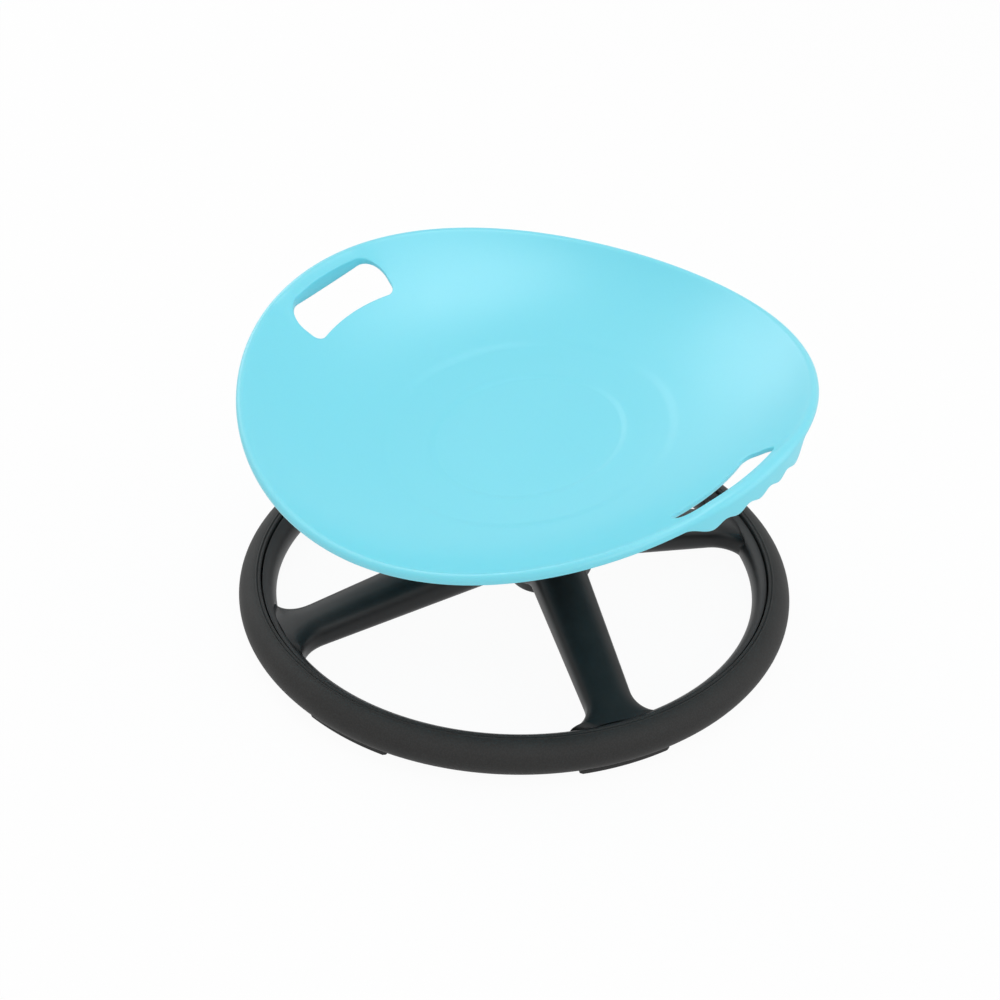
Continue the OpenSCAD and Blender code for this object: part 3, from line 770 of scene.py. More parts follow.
@dataclass
class Workshop:
    """The materials and patterns that the sub-assemblies draw on."""

    materials: dict[Finish, bpy.types.Material]
    patterns: Patterns

    @classmethod
    def open(cls) -> "Workshop":
        """Builds every finish and pattern."""
        effects = Effects()
        return cls({finish: finish.value.build(effects) for finish in Finish}, Patterns())

    def dress(self, piece: Piece, finish: Finish) -> None:
        """Gives a piece the material of a finish."""
        piece.data.materials.clear()
        piece.data.materials.append(self.materials[finish])

    def hand_over(self, piece: Piece, body: Body, node: str, finish: Finish) -> None:
        """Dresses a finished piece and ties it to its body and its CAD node.

        Args:
            piece: The piece.
            body: The moving group that it rides on.
            node: The CAD node that it stands for.
            finish: Its finish.
        """
        self.dress(piece, finish)
        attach(piece, body.value)
        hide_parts(node)
        log.info("%s: %d faces, for %s", piece.name, len(piece.data.polygons), node)


# Sub-assemblies


@dataclass
class Spindle:
    """Where the turning axis stands and how it leans."""

    lean: float = 10.0
    hub_back: float = 27.25
    hub_height: float = 60.5
    seat_reach: float = 165.5
    seat_turn: float = 21.5

    def at(self, station: float) -> Matrix:
        """Frame on the axis.

        Args:
            station: Distance up the axis from its point in the hub.

        Returns:
            The frame, in metres.
        """
        hub = Matrix.Translation((0, self.hub_back * MM, self.hub_height * MM))
        lean = Matrix.Rotation(math.radians(self.lean), 4, "X")
        return hub @ lean @ Matrix.Translation((0, 0, station * MM))

    def seat(self) -> Matrix:
        """Frame of the seat, its origin at the centre of the rim."""
        return self.at(self.seat_reach) @ Matrix.Rotation(math.radians(self.seat_turn), 4, "Z")


@dataclass
class SeatShell:
    """The dish with its rolled rim, hand holes and finger grips."""

    spindle: Spindle
    length: float = 497.0
    width: float = 421.0
    rim_rise: float = 19.5
    depth: float = 58.5
    power: float = 3.4
    wall: float = 3.5
    lip: float = 4.5
    lip_drop: float = 1.0
    lip_room: float = 1.5
    lip_flat: float = 0.6
    step_depth: float = 0.8
    step_places: Pair = (0.34, 0.515)
    step_soft: Pair = (0.015, 0.022)
    slot_len: float = 95.0
    slot_w: float = 31.5
    slot_in: float = 15.0
    slot_end: float = 9.0
    slot_corners: Pair = (17.0, 7.0)
    bar_rise: float = 2.5
    bar_round: float = 1.5
    bar_fade: float = 24.0
    bar_p: Pair = (0.86, 0.94)
    bar_flange: float = 8.0
    flange_t: float = 2.4
    flange_flat: float = 0.85
    flange_facing: Pair = (-0.1, 0.8)
    flange_full: float = 0.6
    grip_drop: float = 11.5
    finger_depth: float = 3.2
    finger_pitch: float = 22.5
    finger_count: int = 4
    edge_soft: float = 1.2
    handle_half: float = 20.0
    handle_step: float = 0.4
    far_columns: int = 94
    first_p: float = 0.03
    core_p: float = 0.78
    core_rows: tuple[int, int] = (34, 20)
    outer_rows: int = 31
    roll_rows: int = 14
    block_p: Pair = (0.785, 0.97)
    ring_clear: float = 1.3
    wall_r: float = 63.0
    wall_t: float = 3.0
    boss_r: float = 9.0
    boss_hole_r: float = 4.5
    boss_l: float = 12.0
    bolt_circle_r: float = 50.0
    bolt_count: int = 4
    rib_r: float = 140.0
    rib_t: float = 3.0
    rib_clear: float = 2.0
    rib_count: int = 8
    points: list[Points] = field(default_factory=list)
    faces: Faces = field(default_factory=list)

    def __post_init__(self) -> None:
        """Works out the half sizes of the oval and the foot of the bosses."""
        self.a, self.b = self.length / 2, self.width / 2
        self.mean = (self.a + self.b) / 2
        self.end_r = self.b * self.b / self.a
        self.boss_foot = -self.depth - self.wall - self.boss_l

    def radii(self, p: Points) -> tuple[Points, Points]:
        """Half length and half width of the oval at share p of the way to the rim."""
        grow = p * p
        return p * (self.mean + (self.a - self.mean) * grow), p * (self.mean + (self.b - self.mean) * grow)

    def plan(self, p: Points, t: Points) -> tuple[Points, Points]:
        """Place in plan of share p of the way to the rim, in direction t."""
        ra, rb = self.radii(p)
        return ra * np.cos(t), rb * np.sin(t)

    def share(self, u: Points, v: Points) -> tuple[Points, Points]:
        """The inverse of plan, by halving.

        Args:
            u: Place along the handles' line.
            v: Place across it.

        Returns:
            The share of the way to the rim and the direction.
        """
        halvings, beyond_rim = 48, 1.2
        low, high = np.zeros_like(u), np.full_like(u, beyond_rim)
        for _ in range(halvings):
            p = (low + high) / 2
            ra, rb = self.radii(p)
            outside = (u / ra) ** 2 + (v / rb) ** 2 > 1
            low, high = np.where(outside, p, low), np.where(outside, high, p)
        return p, np.arctan2(v / rb, u / ra)

    def rise(self, t: Points) -> Points:
        """Height of the rim above the floor of the dish in direction t."""
        return self.depth + self.rim_rise * np.cos(2 * t)

    def edge_r(self, t: Points) -> Points:
        """Distance from the axis to the rim in direction t."""
        return np.hypot(self.a * np.cos(t), self.b * np.sin(t))

    def slope(self, p: Points, t: Points) -> Points:
        """Slope of the dish towards the rim, as an angle."""
        return np.arctan(self.rise(t) * self.power * p ** (self.power - 1) / self.edge_r(t))

    def lip_p(self, t: Points) -> Points:
        """Share of the way at which the rolled edge starts."""
        return 1 - self.lip_room * self.roll_r(t) / self.edge_r(t)

    def bar_window(self, t: Points) -> Points:
        """1 along a handle's bar, 0 away from the handles."""
        limit = self.slot_len / 2 + self.bar_fade / 2
        return smooth((limit - np.abs(self.b * np.sin(t))) / self.bar_fade)

    def roll_r(self, t: Points) -> Points:
        """Radius of the rolled edge in direction t."""
        return self.lip + self.bar_round * self.bar_window(t)

    def swell(self, p: Points, t: Points) -> Points:
        """Rise of the handle's bar above the sweep of the dish."""
        low, high = self.bar_p
        return self.bar_rise * self.bar_window(t) * smooth((p - low) / (high - low))

    def steps(self) -> Sequence[tuple[float, float]]:
        """The place of each step in the dish and half the run that softens it."""
        return list(zip(self.step_places, self.step_soft))

    def top(self, p: Points, t: Points) -> Points:
        """Height of the upper face."""
        steps = sum(smooth((place + soft - p) / (2 * soft)) for place, soft in self.steps())
        return -self.depth + self.rise(t) * p**self.power - self.step_depth * steps + self.swell(p, t)

    def under(self, p: Points, t: Points) -> Points:
        """Height of the lower face."""
        drop = self.wall / np.cos(self.slope(p, t)) + 2 * self.step_depth * (1 - p)
        return -self.depth + self.rise(t) * p**self.power - drop + self.swell(p, t)

    def roll(self, t: Points, inset: float, f: float, drop: Points) -> Points:
        """Points of the rolled edge.

        Args:
            t: Directions.
            inset: Distance inside the roll's outer face.
            f: Share of the way from the dish's slope to a straight drop.
            drop: Extra height taken off.

        Returns:
            Points in the seat's frame.
        """
        p = self.lip_p(t)
        lean, r = self.slope(p, t), self.roll_r(t)
        centre_r = np.hypot(*self.plan(p, t)) + r * np.sin(lean)
        centre_z = self.top(p, t) - r * np.cos(lean)
        turn = (math.pi / 2 + lean) * (1 - f)
        out = centre_r + (r - inset) * np.cos(turn)
        way = np.arctan2(self.b * np.sin(t), self.a * np.cos(t))
        height = centre_z + (r - inset) * np.sin(turn) - drop
        return np.stack([out * np.cos(way), out * np.sin(way), height], -1)

    def edge_drop(self, t: Points) -> Points:
        """Depth of the edge below the roll: deep and scalloped at the handles.

        Args:
            t: Directions.

        Returns:
            The depth in each direction.
        """
        v = self.b * np.sin(t)
        half = self.finger_count * self.finger_pitch / 2
        window = smooth((half + self.finger_pitch - np.abs(v)) / self.finger_pitch)
        finger = np.where(np.abs(v) < half, (1 - np.cos(2 * math.pi * v / self.finger_pitch)) / 2, 0)
        return self.lip_drop + window * (self.grip_drop - self.lip_drop - self.finger_depth * finger)

    def directions(self) -> Points:
        """Column directions, close together at the handles.

        Returns:
            The directions, in order round the rim.
        """
        near = np.arange(-self.handle_half, self.handle_half, self.handle_step)
        far = np.linspace(self.handle_half, 180 - self.handle_half, self.far_columns, endpoint=False)
        return np.radians(np.concatenate([near, far, near + 180, far + 180]))

    def core_shares(self, count: int) -> Points:
        """Shares of the way for the inner rows, with more of them at the two steps.

        Args:
            count: Number of rows before the steps' own are added.

        Returns:
            The shares, rising.
        """
        step_rows, room = 9, 0.006
        rows = list(np.linspace(self.first_p, self.core_p, count))
        for place, soft in self.steps():
            rows = [p for p in rows if abs(p - place) > soft + room]
            rows += list(place + np.linspace(-soft, soft, step_rows))
        return np.array(sorted(rows))

    def face_rows(self, t: Points, core: Points, outer: Points) -> Points:
        """Shares of the way for every column and row of one face of the dish."""
        rim = self.core_p + np.outer(self.lip_p(t) - self.core_p, outer)
        return np.concatenate([np.tile(core, (len(t), 1)), rim], 1)

    def add(self, points: Points) -> int:
        """Stores points.

        Args:
            points: Points in the seat's frame.

        Returns:
            The index of the first.
        """
        start = sum(len(x) for x in self.points)
        self.points.append(np.asarray(points, float).reshape(-1, 3))
        return start

    def slot_outline(self, side: int, offset: float) -> Points:
        """Outline of a hand hole in plan, grown by an offset, counter-clockwise.

        Args:
            side: 1 for the handle at +u, -1 for the other.
            offset: Distance outside the hole's own edge.

        Returns:
            Plan points, the same number for every offset.
        """
        mid = self.end_r - self.slot_in - self.slot_w / 2
        half = math.asin((self.slot_len / 2 - self.slot_end) / mid)
        bar_points, dish_points, corner_points = 64, 52, 11

        def edge(way: int, count: int) -> tuple[Points, Points]:
            """Points of one long edge, and of the corner at its +v end.

            Args:
                way: 1 for the edge at the bar, -1 for the one at the dish.
                count: Number of points along the edge.

            Returns:
                The edge with v rising, and the corner from the bar towards the dish.
            """
            bend = self.slot_corners[0 if way > 0 else 1]
            reach = mid + way * (self.slot_w / 2 - bend)
            limit = half + math.asin((self.slot_end - bend) / reach)
            along = np.linspace(-limit, limit, count)[1:-1]
            turns = np.linspace(limit, half + math.pi / 2, corner_points)
            if way < 0:
                turns = np.linspace(half + math.pi / 2, limit + math.pi, corner_points)
            r = mid + way * (self.slot_w / 2 + offset)
            centre = reach * np.array([math.cos(limit), math.sin(limit)])
            corner = centre + (bend + offset) * np.column_stack([np.cos(turns), np.sin(turns)])
            return r * np.column_stack([np.cos(along), np.sin(along)]), corner

        bar, bar_corner = edge(1, bar_points)
        dish, dish_corner = edge(-1, dish_points)
        gap = np.array([0.25, 0.5, 0.75])[:, None]
        end = bar_corner[-1] + (dish_corner[0] - bar_corner[-1]) * gap
        turn = np.concatenate([bar_corner, end, dish_corner])
        rows = np.concatenate([bar, turn, dish[::-1], turn[::-1] * (1, -1)])
        return (rows + (self.a - self.end_r, 0)) * side

    def lifted(self, plan: Points, upper: bool) -> Points:
        """Plan points set on the upper or the lower face."""
        p, t = self.share(plan[:, 0], plan[:, 1])
        return np.column_stack([plan, self.top(p, t) if upper else self.under(p, t)])

    def patch(self, grid: Points, columns: Points, rows: Points, index: Points, ring: int,
              outline: Points, upper: bool) -> None:
        """Fills the block of the grid round a hand hole, up to the hole's ring of points.

        Args:
            grid: Points by column and row.
            columns: Columns of the block, in order.
            rows: Rows of the block, in order.
            index: Index of every grid point by column and row.
            ring: Index of the ring's first point.
            outline: The ring in plan.
            upper: Whether the faces look up.
        """
        border = [(c, rows[0]) for c in columns] + [(columns[-1], r) for r in rows[1:]]
        border += [(c, rows[-1]) for c in columns[-2::-1]] + [(columns[0], r) for r in rows[-2:0:-1]]
        inner = [(c, r) for c in columns[1:-1] for r in rows[1:-1]]
        plan = np.array([grid[c][:2] for c in inner])
        away = np.hypot(*(plan[:, None] - outline[None]).transpose(2, 0, 1)).min(1)
        clear = (away > self.ring_clear) & ~inside(plan, outline)
        kept = border + [c for c, free in zip(inner, clear) if free]
        ids = [index[c] for c in kept] + [ring + i for i in range(len(outline))]
        flat = np.concatenate([[grid[c][:2] for c in kept], outline])
        edges = loop_edges(0, len(border)) + loop_edges(len(kept), len(outline))
        fill_hull, tolerance = 0, 1e-6
        result = delaunay_2d_cdt([Vector(q) for q in flat], edges, [], fill_hull, tolerance)
        source = [o[0] for o in result[3]]
        corners = np.array([[flat[source[i]] for i in f] for f in result[2]])
        middle = corners.mean(1)
        keep = inside(middle, flat[: len(border)]) & ~inside(middle, outline)
        for face, corner, wanted in zip(result[2], corners, keep):
            if wanted:
                (ax, ay), (bx, by) = corner[1] - corner[0], corner[2] - corner[0]
                order = face if (ax * by - ay * bx > 0) == upper else face[::-1]
                self.faces.append(tuple(ids[source[i]] for i in order))

    def hole_wall(self, side: int, top_ring: int, low_ring: int) -> None:
        """Rounds the edge of a hand hole, with a flange down along the handle's bar.

        Args:
            side: 1 for the handle at +u, -1 for the other.
            top_ring: Index of the first point of the ring on the upper face.
            low_ring: Index of the first point of the ring on the lower face.
        """
        soft, half, wide = self.edge_soft, self.wall / 2, self.flange_t
        edge = self.slot_outline(side, 0.0)
        way = self.slot_outline(side, 1.0) - edge
        probe = 0.5

        def height(out: float, upper: bool) -> Points:
            """Height of the upper or lower face at a distance outside the hole's edge."""
            return self.lifted(edge + way * out, upper)[:, 2]

        upper = height(soft, True)
        corner = upper - (height(soft + probe, True) - upper) / probe * soft
        low, low_out = height(0.0, False), height(half, False)
        facing = way[:, 0] * side
        run = np.minimum(np.abs(edge[:, 1]) / (self.slot_len / 2), 1)
        first, last = self.flange_facing
        depth = self.bar_flange * (1 - run**2) * smooth((facing - first) / (last - first))
        deep = smooth(depth / (self.flange_full * self.bar_flange))
        foot = low - depth
        heel = low_out + (foot - low_out) * deep
        shares = (0.2, 0.4, 0.6, 0.8, 1.0)
        rings = [(soft * (1 - f) ** 2, bent(upper, corner, corner - soft, f)) for f in shares]
        rings.append((0.0, foot + half))
        rings += [(half * f * f, bent(foot + half, foot, heel, f)) for f in (0.35, 0.7, 1.0)]
        for f in (0.4, 0.75, 1.0):
            x_flat = half + (wide - half) * self.flange_flat * f
            x_turn = half * (1 - f) ** 2 + wide * (1 - (1 - f) ** 2)
            z_flat, z_turn = height(x_flat, False), foot + half * f * f
            rings.append((x_flat + (x_turn - x_flat) * deep, z_flat + (z_turn - z_flat) * deep))
        before, count = top_ring, len(edge)
        for x, z in rings:
            after = self.add(np.column_stack([edge + way * np.broadcast_to(x, count)[:, None], z]))
            self.band(before, after, count)
            before = after
        self.band(before, low_ring, count)

    def band(self, first: int, second: int, count: int) -> None:
        """Joins two rings of points with quads."""
        for i, j in loop_edges(0, count):
            self.faces.append((first + i, first + j, second + j, second + i))

    def face(self, shares: Points, t: Points, upper: bool) -> Points:
        """Points of one face of the dish.

        Args:
            shares: Shares of the way to the rim, by column and row.
            t: Direction of each column.
            upper: Whether it is the upper face.

        Returns:
            Points by column and row.
        """
        way = t[:, None]
        height = self.top(shares, way) if upper else self.under(shares, way)
        return np.stack([*self.plan(shares, way), height], -1)

    def rim(self, t: Points) -> Points:
        """Points of the rolled rim, from the upper face over the edge to the lower face.

        Args:
            t: Direction of each column.

        Returns:
            Points by column and row.
        """
        drop, half = self.edge_drop(t), self.wall / 2
        rows = [self.roll(t, 0, f, 0) for f in np.linspace(0, 1, self.roll_rows)]
        rows += [self.roll(t, 0, 1, drop * f) for f in (0.3, 0.65, 1.0)]
        for angle in np.radians([30, 60, 90, 120, 150]):
            sink = half * self.lip_flat * math.sin(angle)
            rows.append(self.roll(t, half - half * math.cos(angle), 1, drop + sink))
        rows += [self.roll(t, self.wall, 1, drop * f) for f in (1.0, 0.5)]
        rows += [self.roll(t, self.wall, f, 0) for f in (1.0, 0.66, 0.33, 0.0)]
        return np.stack(rows, 1)

    def dish(self) -> Piece:
        """Builds the dish itself.

        Returns:
            The dish with its rolled rim and both hand holes.
        """
        t = self.directions()
        outer = np.linspace(0, 1, self.outer_rows)[1:-1]
        top_core = self.core_shares(self.core_rows[0])
        low_core = np.linspace(self.first_p, self.core_p, self.core_rows[1])
        top_p = self.face_rows(t, top_core, outer)
        low_p = self.face_rows(t, low_core, outer)[:, ::-1]
        grid = np.concatenate([self.face(top_p, t, True), self.rim(t), self.face(low_p, t, False)], 1)
        n, m = grid.shape[:2]
        index = self.add(grid) + np.arange(n * m).reshape(n, m)
        cut = np.zeros((n, m - 1), bool)
        sheets = ((True, top_p, 0, self.edge_soft), (False, low_p, m - low_p.shape[1], self.flange_t))
        for side in (1, -1):
            away = np.angle(np.exp(1j * (t - (0 if side > 0 else math.pi))))
            block = np.flatnonzero(np.abs(away) < math.radians(self.handle_half - self.handle_step / 2))
            block = block[np.argsort(away[block])]
            rings = []
            for upper, shares, first, offset in sheets:
                p = shares[block[len(block) // 2]]
                rows = first + np.flatnonzero((p > self.block_p[0]) & (p < self.block_p[1]))
                outline = self.slot_outline(side, offset)
                rings.append(self.add(self.lifted(outline, upper)))
                self.patch(grid, block, rows if upper else rows[::-1], index, rings[-1], outline, upper)
                cut[np.ix_(block[:-1], rows[:-1])] = True
            self.hole_wall(side, *rings)
        for i, j in loop_edges(0, n):
            for k in np.flatnonzero(~cut[i]):
                self.faces.append((index[i, k], index[i, k + 1], index[j, k + 1], index[j, k]))
        zero = np.zeros(1)
        top_pole = self.add([[0, 0, self.top(zero, zero)[0]]])
        low_pole = self.add([[0, 0, self.under(zero, zero)[0]]])
        for i, j in loop_edges(0, n):
            self.faces.append((top_pole, index[i, 0], index[j, 0]))
            self.faces.append((low_pole, index[j, m - 1], index[i, m - 1]))
        piece = mesh_object("seat_dish", np.concatenate(self.points), self.faces, self.spindle.seat())
        shade(piece, angle=60)
        return piece

    def middle(self, r: float, t: float) -> float:
        """Height of the middle of the wall at distance r from the axis."""
        p, way = np.array([r / self.mean]), np.array([t])
        return float((self.top(p, way) + self.under(p, way))[0] / 2)

    def rib_set(self) -> Piece:
        """Half of the ribs under the dish, as one helper shape.

        Returns:
            The helper.
        """
        points, faces, stations = [], [], 9
        radii = np.linspace(self.wall_r - self.wall_t / 2, self.rib_r, stations)
        for k in range(self.rib_count // 2):
            t = 2 * math.pi / self.rib_count * (k + 0.5)
            along, across = np.array([math.cos(t), math.sin(t)]), np.array([-math.sin(t), math.cos(t)])
            start = len(points)
            tops = [self.middle(r, t) for r in radii]
            ends = (self.boss_foot + self.rib_clear, tops[-1] - self.wall)
            feet = np.interp(radii, (radii[0], radii[-1]), ends)
            for r, low, high in zip(radii, feet, tops):
                for side, z in ((-1, low), (1, low), (1, high), (-1, high)):
                    points.append((*(along * r + across * side * self.rib_t / 2), z))
            faces += [tuple(start + i for i in f) for f in lofted(np.zeros((stations, 4, 3)))[1]]
        return mesh_object("rib_helper", np.array(points), faces)

    def underside(self, shop: Workshop) -> list[Piece]:
        """Builds the ribs, bosses and round wall below the dish.

        Args:
            shop: Materials and patterns.

        Returns:
            The three pieces.
        """
        paint, soft, lead_in = shop.materials[Finish.seat_plastic], 1.0, 0.5
        ribs_helper = self.rib_set()
        ribs = tree_mesh(shop.patterns.ring, "seat_ribs", {
            "Shape": ribs_helper, "Count": 2, "First angle": 0.0, "Material": paint})
        out, hole, foot = self.boss_r, self.boss_hole_r, self.boss_foot
        top = self.middle(self.bolt_circle_r - out, math.pi / 4)
        profile = [(hole, foot + lead_in), (hole + lead_in, foot),
                   *arc(out - soft, foot + soft, soft, -90, 0, steps=4), (out, top), (hole, top)]
        points, faces = turned(profile, segments=40)
        boss_helper = mesh_object("boss_helper", points + (self.bolt_circle_r, 0, 0), faces)
        bosses = tree_mesh(shop.patterns.ring, "seat_bosses", {
            "Shape": boss_helper, "Count": self.bolt_count, "First angle": math.pi / self.bolt_count,
            "Material": paint})
        out, hole = self.wall_r, self.wall_r - self.wall_t
        top = self.middle(out, math.pi / 4)
        skirt = [*arc(hole + soft, foot + soft, soft, 180, 270, steps=3),
                 *arc(out - soft, foot + soft, soft, -90, 0, steps=3), (out, top), (hole, top)]
        wall = mesh_object("seat_wall", *turned(skirt, segments=128))
        discard(ribs_helper, boss_helper)
        for piece in (ribs, bosses, wall):
            piece.data.transform(self.spindle.seat())
            shade(face_outward(piece))
        return [ribs, bosses, wall]

    def build(self, shop: Workshop) -> None:
        """Builds and dresses the seat."""
        for piece in [self.dish(), *self.underside(shop)]:
            shop.hand_over(piece, Body.SEAT, "seat_shell", Finish.seat_plastic)


@dataclass(frozen=True)
class Ring:
    """Sizes that the frame, its cover and its pads share at the ring."""

    outer_r: float = 230.0
    width: float = 31.0
    height: float = 32.0
    pad_t: float = 4.0
    cover_w: float = 18.5
    groove_w: float = 1.4
    rim_step: float = 2.0
    flange_w: float = 9.0
    flange_t: float = 5.0
    tongue_w: float = 6.0
    tongue_t: float = 6.0
    pad_lap: float = 1.6
    gap: float = 0.3

    @property
    def inner_r(self) -> float:
        """Inside of the rim."""
        return self.outer_r - self.width

    @property
    def cover_r(self) -> float:
        """Inside of the cover."""
        return self.outer_r - self.cover_w

    @property
    def rim_r(self) -> float:
        """Outside of the rim, at the groove beside the cover."""
        return self.cover_r - self.groove_w

    @property
    def pad_r(self) -> float:
        """Inside of the pads."""
        return self.rim_r - self.pad_lap

    @property
    def flange_r(self) -> float:
        """Outside of the flange under the cover."""
        return self.rim_r + self.flange_w

    @property
    def tongue_r(self) -> float:
        """Outside of the tongue that keys the cover."""
        return self.cover_r + self.tongue_w

    @property
    def top_z(self) -> float:
        """Top of the cover."""
        return self.pad_t + self.height

    @property
    def mid_z(self) -> float:
        """Middle of the ring's height."""
        return self.pad_t + self.height / 2

    @property
    def tongue_z(self) -> Pair:
        """Foot and top of the tongue."""
        return self.mid_z - self.tongue_t / 2, self.mid_z + self.tongue_t / 2


@dataclass
class BaseFrame:
    """The moulded rim, spokes and hub."""

    spindle: Spindle
    ring: Ring
    rim_land: float = 1.0
    rim_soft: float = 0.5
    spoke_count: int = 4
    spoke_w: Pair = (37.0, 48.0)
    spoke_h: Pair = (24.0, 41.0)
    spoke_lift: float = 4.0
    spoke_fore: float = 4.0
    spoke_square: float = 0.72
    spoke_sunk: float = 16.0
    spoke_points: int = 56
    ring_fillet: float = 24.0
    hub_fillet: float = 12.0
    fillet_start: float = 0.3
    fillet_lap: float = 2.0
    roof: float = 6.5
    pocket_count: int = 3
    pocket_rib: float = 3.0
    pocket_draft: float = 4.0
    pocket_sections: int = 5
    hub_r: Pair = (36.0, 33.0)
    hub_s: Pair = (-34.0, 71.9)
    hub_soft: Pair = (2.0, 1.5)
    tube_r: float = 25.0
    tube_s0: float = -14.0
    foot_bore_r: float = 24.0
    cut_over: float = 1.0

    def rim(self) -> Piece:
        """The rim with the flange and tongue that carry the cover.

        Returns:
            The rim, which the rest of the frame is joined to.
        """
        ring, soft = self.ring, self.rim_soft
        z0, z1 = ring.pad_t, ring.top_z - ring.rim_step
        low, high = ring.tongue_z
        deep, half = ring.width - ring.cover_w - ring.groove_w - self.rim_land, (z1 - z0) / 2
        r = (half * half + deep * deep) / (2 * deep)
        turn = math.degrees(math.atan2(half, deep - r))
        inner = arc(ring.inner_r + r, z0 + half, r, turn, 360 - turn, steps=32)
        profile = [
            *[point for point in inner if point[0] < ring.pad_r or point[1] > z0 + half],
            (ring.pad_r, z0), (ring.flange_r - soft, z0), (ring.flange_r, z0 + soft),
            (ring.flange_r, z0 + ring.flange_t), (ring.rim_r, z0 + ring.flange_t),
            (ring.rim_r, low), (ring.tongue_r, low), (ring.tongue_r, high), (ring.rim_r, high),
            *arc(ring.rim_r - soft, z1 - soft, soft, 0, 90, steps=3),
        ]
        return face_outward(mesh_object("base_frame_body", *turned(profile, segments=256)))

    def spoke_line(self, k: int) -> tuple[Points, Points, Points, float]:
        """The line that a spoke follows.

        Args:
            k: Which spoke.

        Returns:
            Its root in the rim, a step along it, a step across it and its run in plan.
        """
        angle = 2 * math.pi / self.spoke_count * k
        r = (self.ring.inner_r + self.ring.rim_r) / 2
        root = np.array([r * math.cos(angle), r * math.sin(angle), self.ring.mid_z])
        back, height = self.spindle.hub_back - self.spoke_fore, self.spindle.hub_height + self.spoke_lift
        reach = np.array([0, back, height]) - root
        run = math.hypot(reach[0], reach[1])
        return root, reach / run, np.array([-reach[1], reach[0], 0]) / run, run

    def rim_half(self) -> float:
        """Half of the rim's width in plan, from a spoke's root to the rim's inside."""
        return (self.ring.rim_r - self.ring.inner_r) / 2

    @staticmethod
    def fillet(r: float, d: float) -> float:
        """Room that a fillet of radius r adds at distance d from the wall it meets."""
        return 0.0 if d >= r else r - math.sqrt(r * r - (r - max(d, 0.0)) ** 2)

    def spoke_half(self, x: float, run: float) -> Pair:
        """Half sizes of a spoke's section.

        Args:
            x: Distance from the spoke's root.
            run: Run of the spoke in plan.

        Returns:
            Half the width and half the height.
        """
        f = x / run
        w = (self.spoke_w[0] + (self.spoke_w[1] - self.spoke_w[0]) * f) / 2
        w += self.fillet(self.ring_fillet, abs(x - self.rim_half()))
        w += self.fillet(self.hub_fillet, run - x - self.hub_r[0] + self.fillet_lap)
        return w, (self.spoke_h[0] + (self.spoke_h[1] - self.spoke_h[0]) * f) / 2

    def spoke(self, k: int) -> Piece:
        """One spoke: squared ovals from the rim into the hub.

        Args:
            k: Which spoke.

        Returns:
            The closed spoke.
        """
        root, along, across, run = self.spoke_line(k)
        start, end = self.rim_half() + self.fillet_start, run - self.hub_r[0]
        last = end + self.fillet_lap
        rows, hub_rows, crowding, nearest = 12, 10, 1.6, 0.02
        stations = np.concatenate([
            [0.0], start + self.ring_fillet * np.linspace(0, 1, rows) ** crowding,
            np.linspace(start + self.ring_fillet, last - self.hub_fillet, rows)[1:-1],
            last - self.hub_fillet * np.linspace(1, nearest, hub_rows), [end + self.spoke_sunk]])
        t = 2 * math.pi * (np.arange(self.spoke_points) + 0.5) / self.spoke_points
        oval = np.stack([np.sign(f(t)) * np.abs(f(t)) ** self.spoke_square for f in (np.cos, np.sin)], -1)
        sections = []
        for x in stations:
            w, h = self.spoke_half(float(x), run)
            sideways, upward = np.outer(oval[:, 0] * w, across), np.outer(oval[:, 1] * h, (0, 0, 1))
            sections.append(root + along * x + sideways + upward)
        return face_outward(mesh_object(f"spoke_{k}", *lofted(np.array(sections))))

    def pocket_shapes(self, k: int) -> list[Piece]:
        """The pockets moulded into the underside of a spoke.

        Args:
            k: Which spoke.

        Returns:
            Closed helper shapes to cut out.
        """
        root, along, across, run = self.spoke_line(k)
        start = self.rim_half() + self.ring_fillet
        step = (run - self.hub_r[0] - self.hub_fillet - start) / self.pocket_count
        pieces = []
        for i in range(self.pocket_count):
            sections = []
            first, last = start + i * step, start + (i + 1) * step - self.pocket_rib
            for x in np.linspace(first, last, self.pocket_sections):
                w, h = self.spoke_half(float(x), run)
                w, roof, foot = w - self.roof, h - self.roof, -h - self.cut_over
                narrow = w - self.pocket_draft
                corners = [(-w, foot), (w, foot), (narrow, roof), (-narrow, roof)]
                sections.append([root + along * x + across * c[0] + np.array([0, 0, c[1]]) for c in corners])
            pieces.append(face_outward(mesh_object(f"pocket_{k}_{i}", *lofted(np.array(sections)))))
        return pieces

    def hub(self) -> Piece:
        """The leaning hub.

        Returns:
            The closed hub.
        """
        (r0, r1), (s0, s1), (low, high) = self.hub_r, self.hub_s, self.hub_soft
        return self.solid_of_turning("hub", [
            (r0 - low, s0), *arc(r0 - low, s0 + low, low, -80, 0, steps=4),
            *arc(r1 - high, s1 - high, high, 5, 90, steps=4)])

    def solid_of_turning(self, name: str, profile: Profile) -> Piece:
        """Turns an open profile about the spindle and closes both ends.

        Args:
            name: Name of the helper.
            profile: Points (radius, station) from the foot to the top.

        Returns:
            The closed helper.
        """
        segments, rows = 128, len(profile)
        points = turned(profile, segments)[0]
        faces = grid_faces(segments, rows, closed=True)
        low, high = len(points), len(points) + 1
        points = np.concatenate([points, [[0, 0, profile[0][1]], [0, 0, profile[-1][1]]]])
        for i, j in loop_edges(0, segments):
            faces.append((low, i * rows, j * rows))
            faces.append((high, j * rows + rows - 1, i * rows + rows - 1))
        return face_outward(mesh_object(name, points, faces, self.spindle.at(0)))

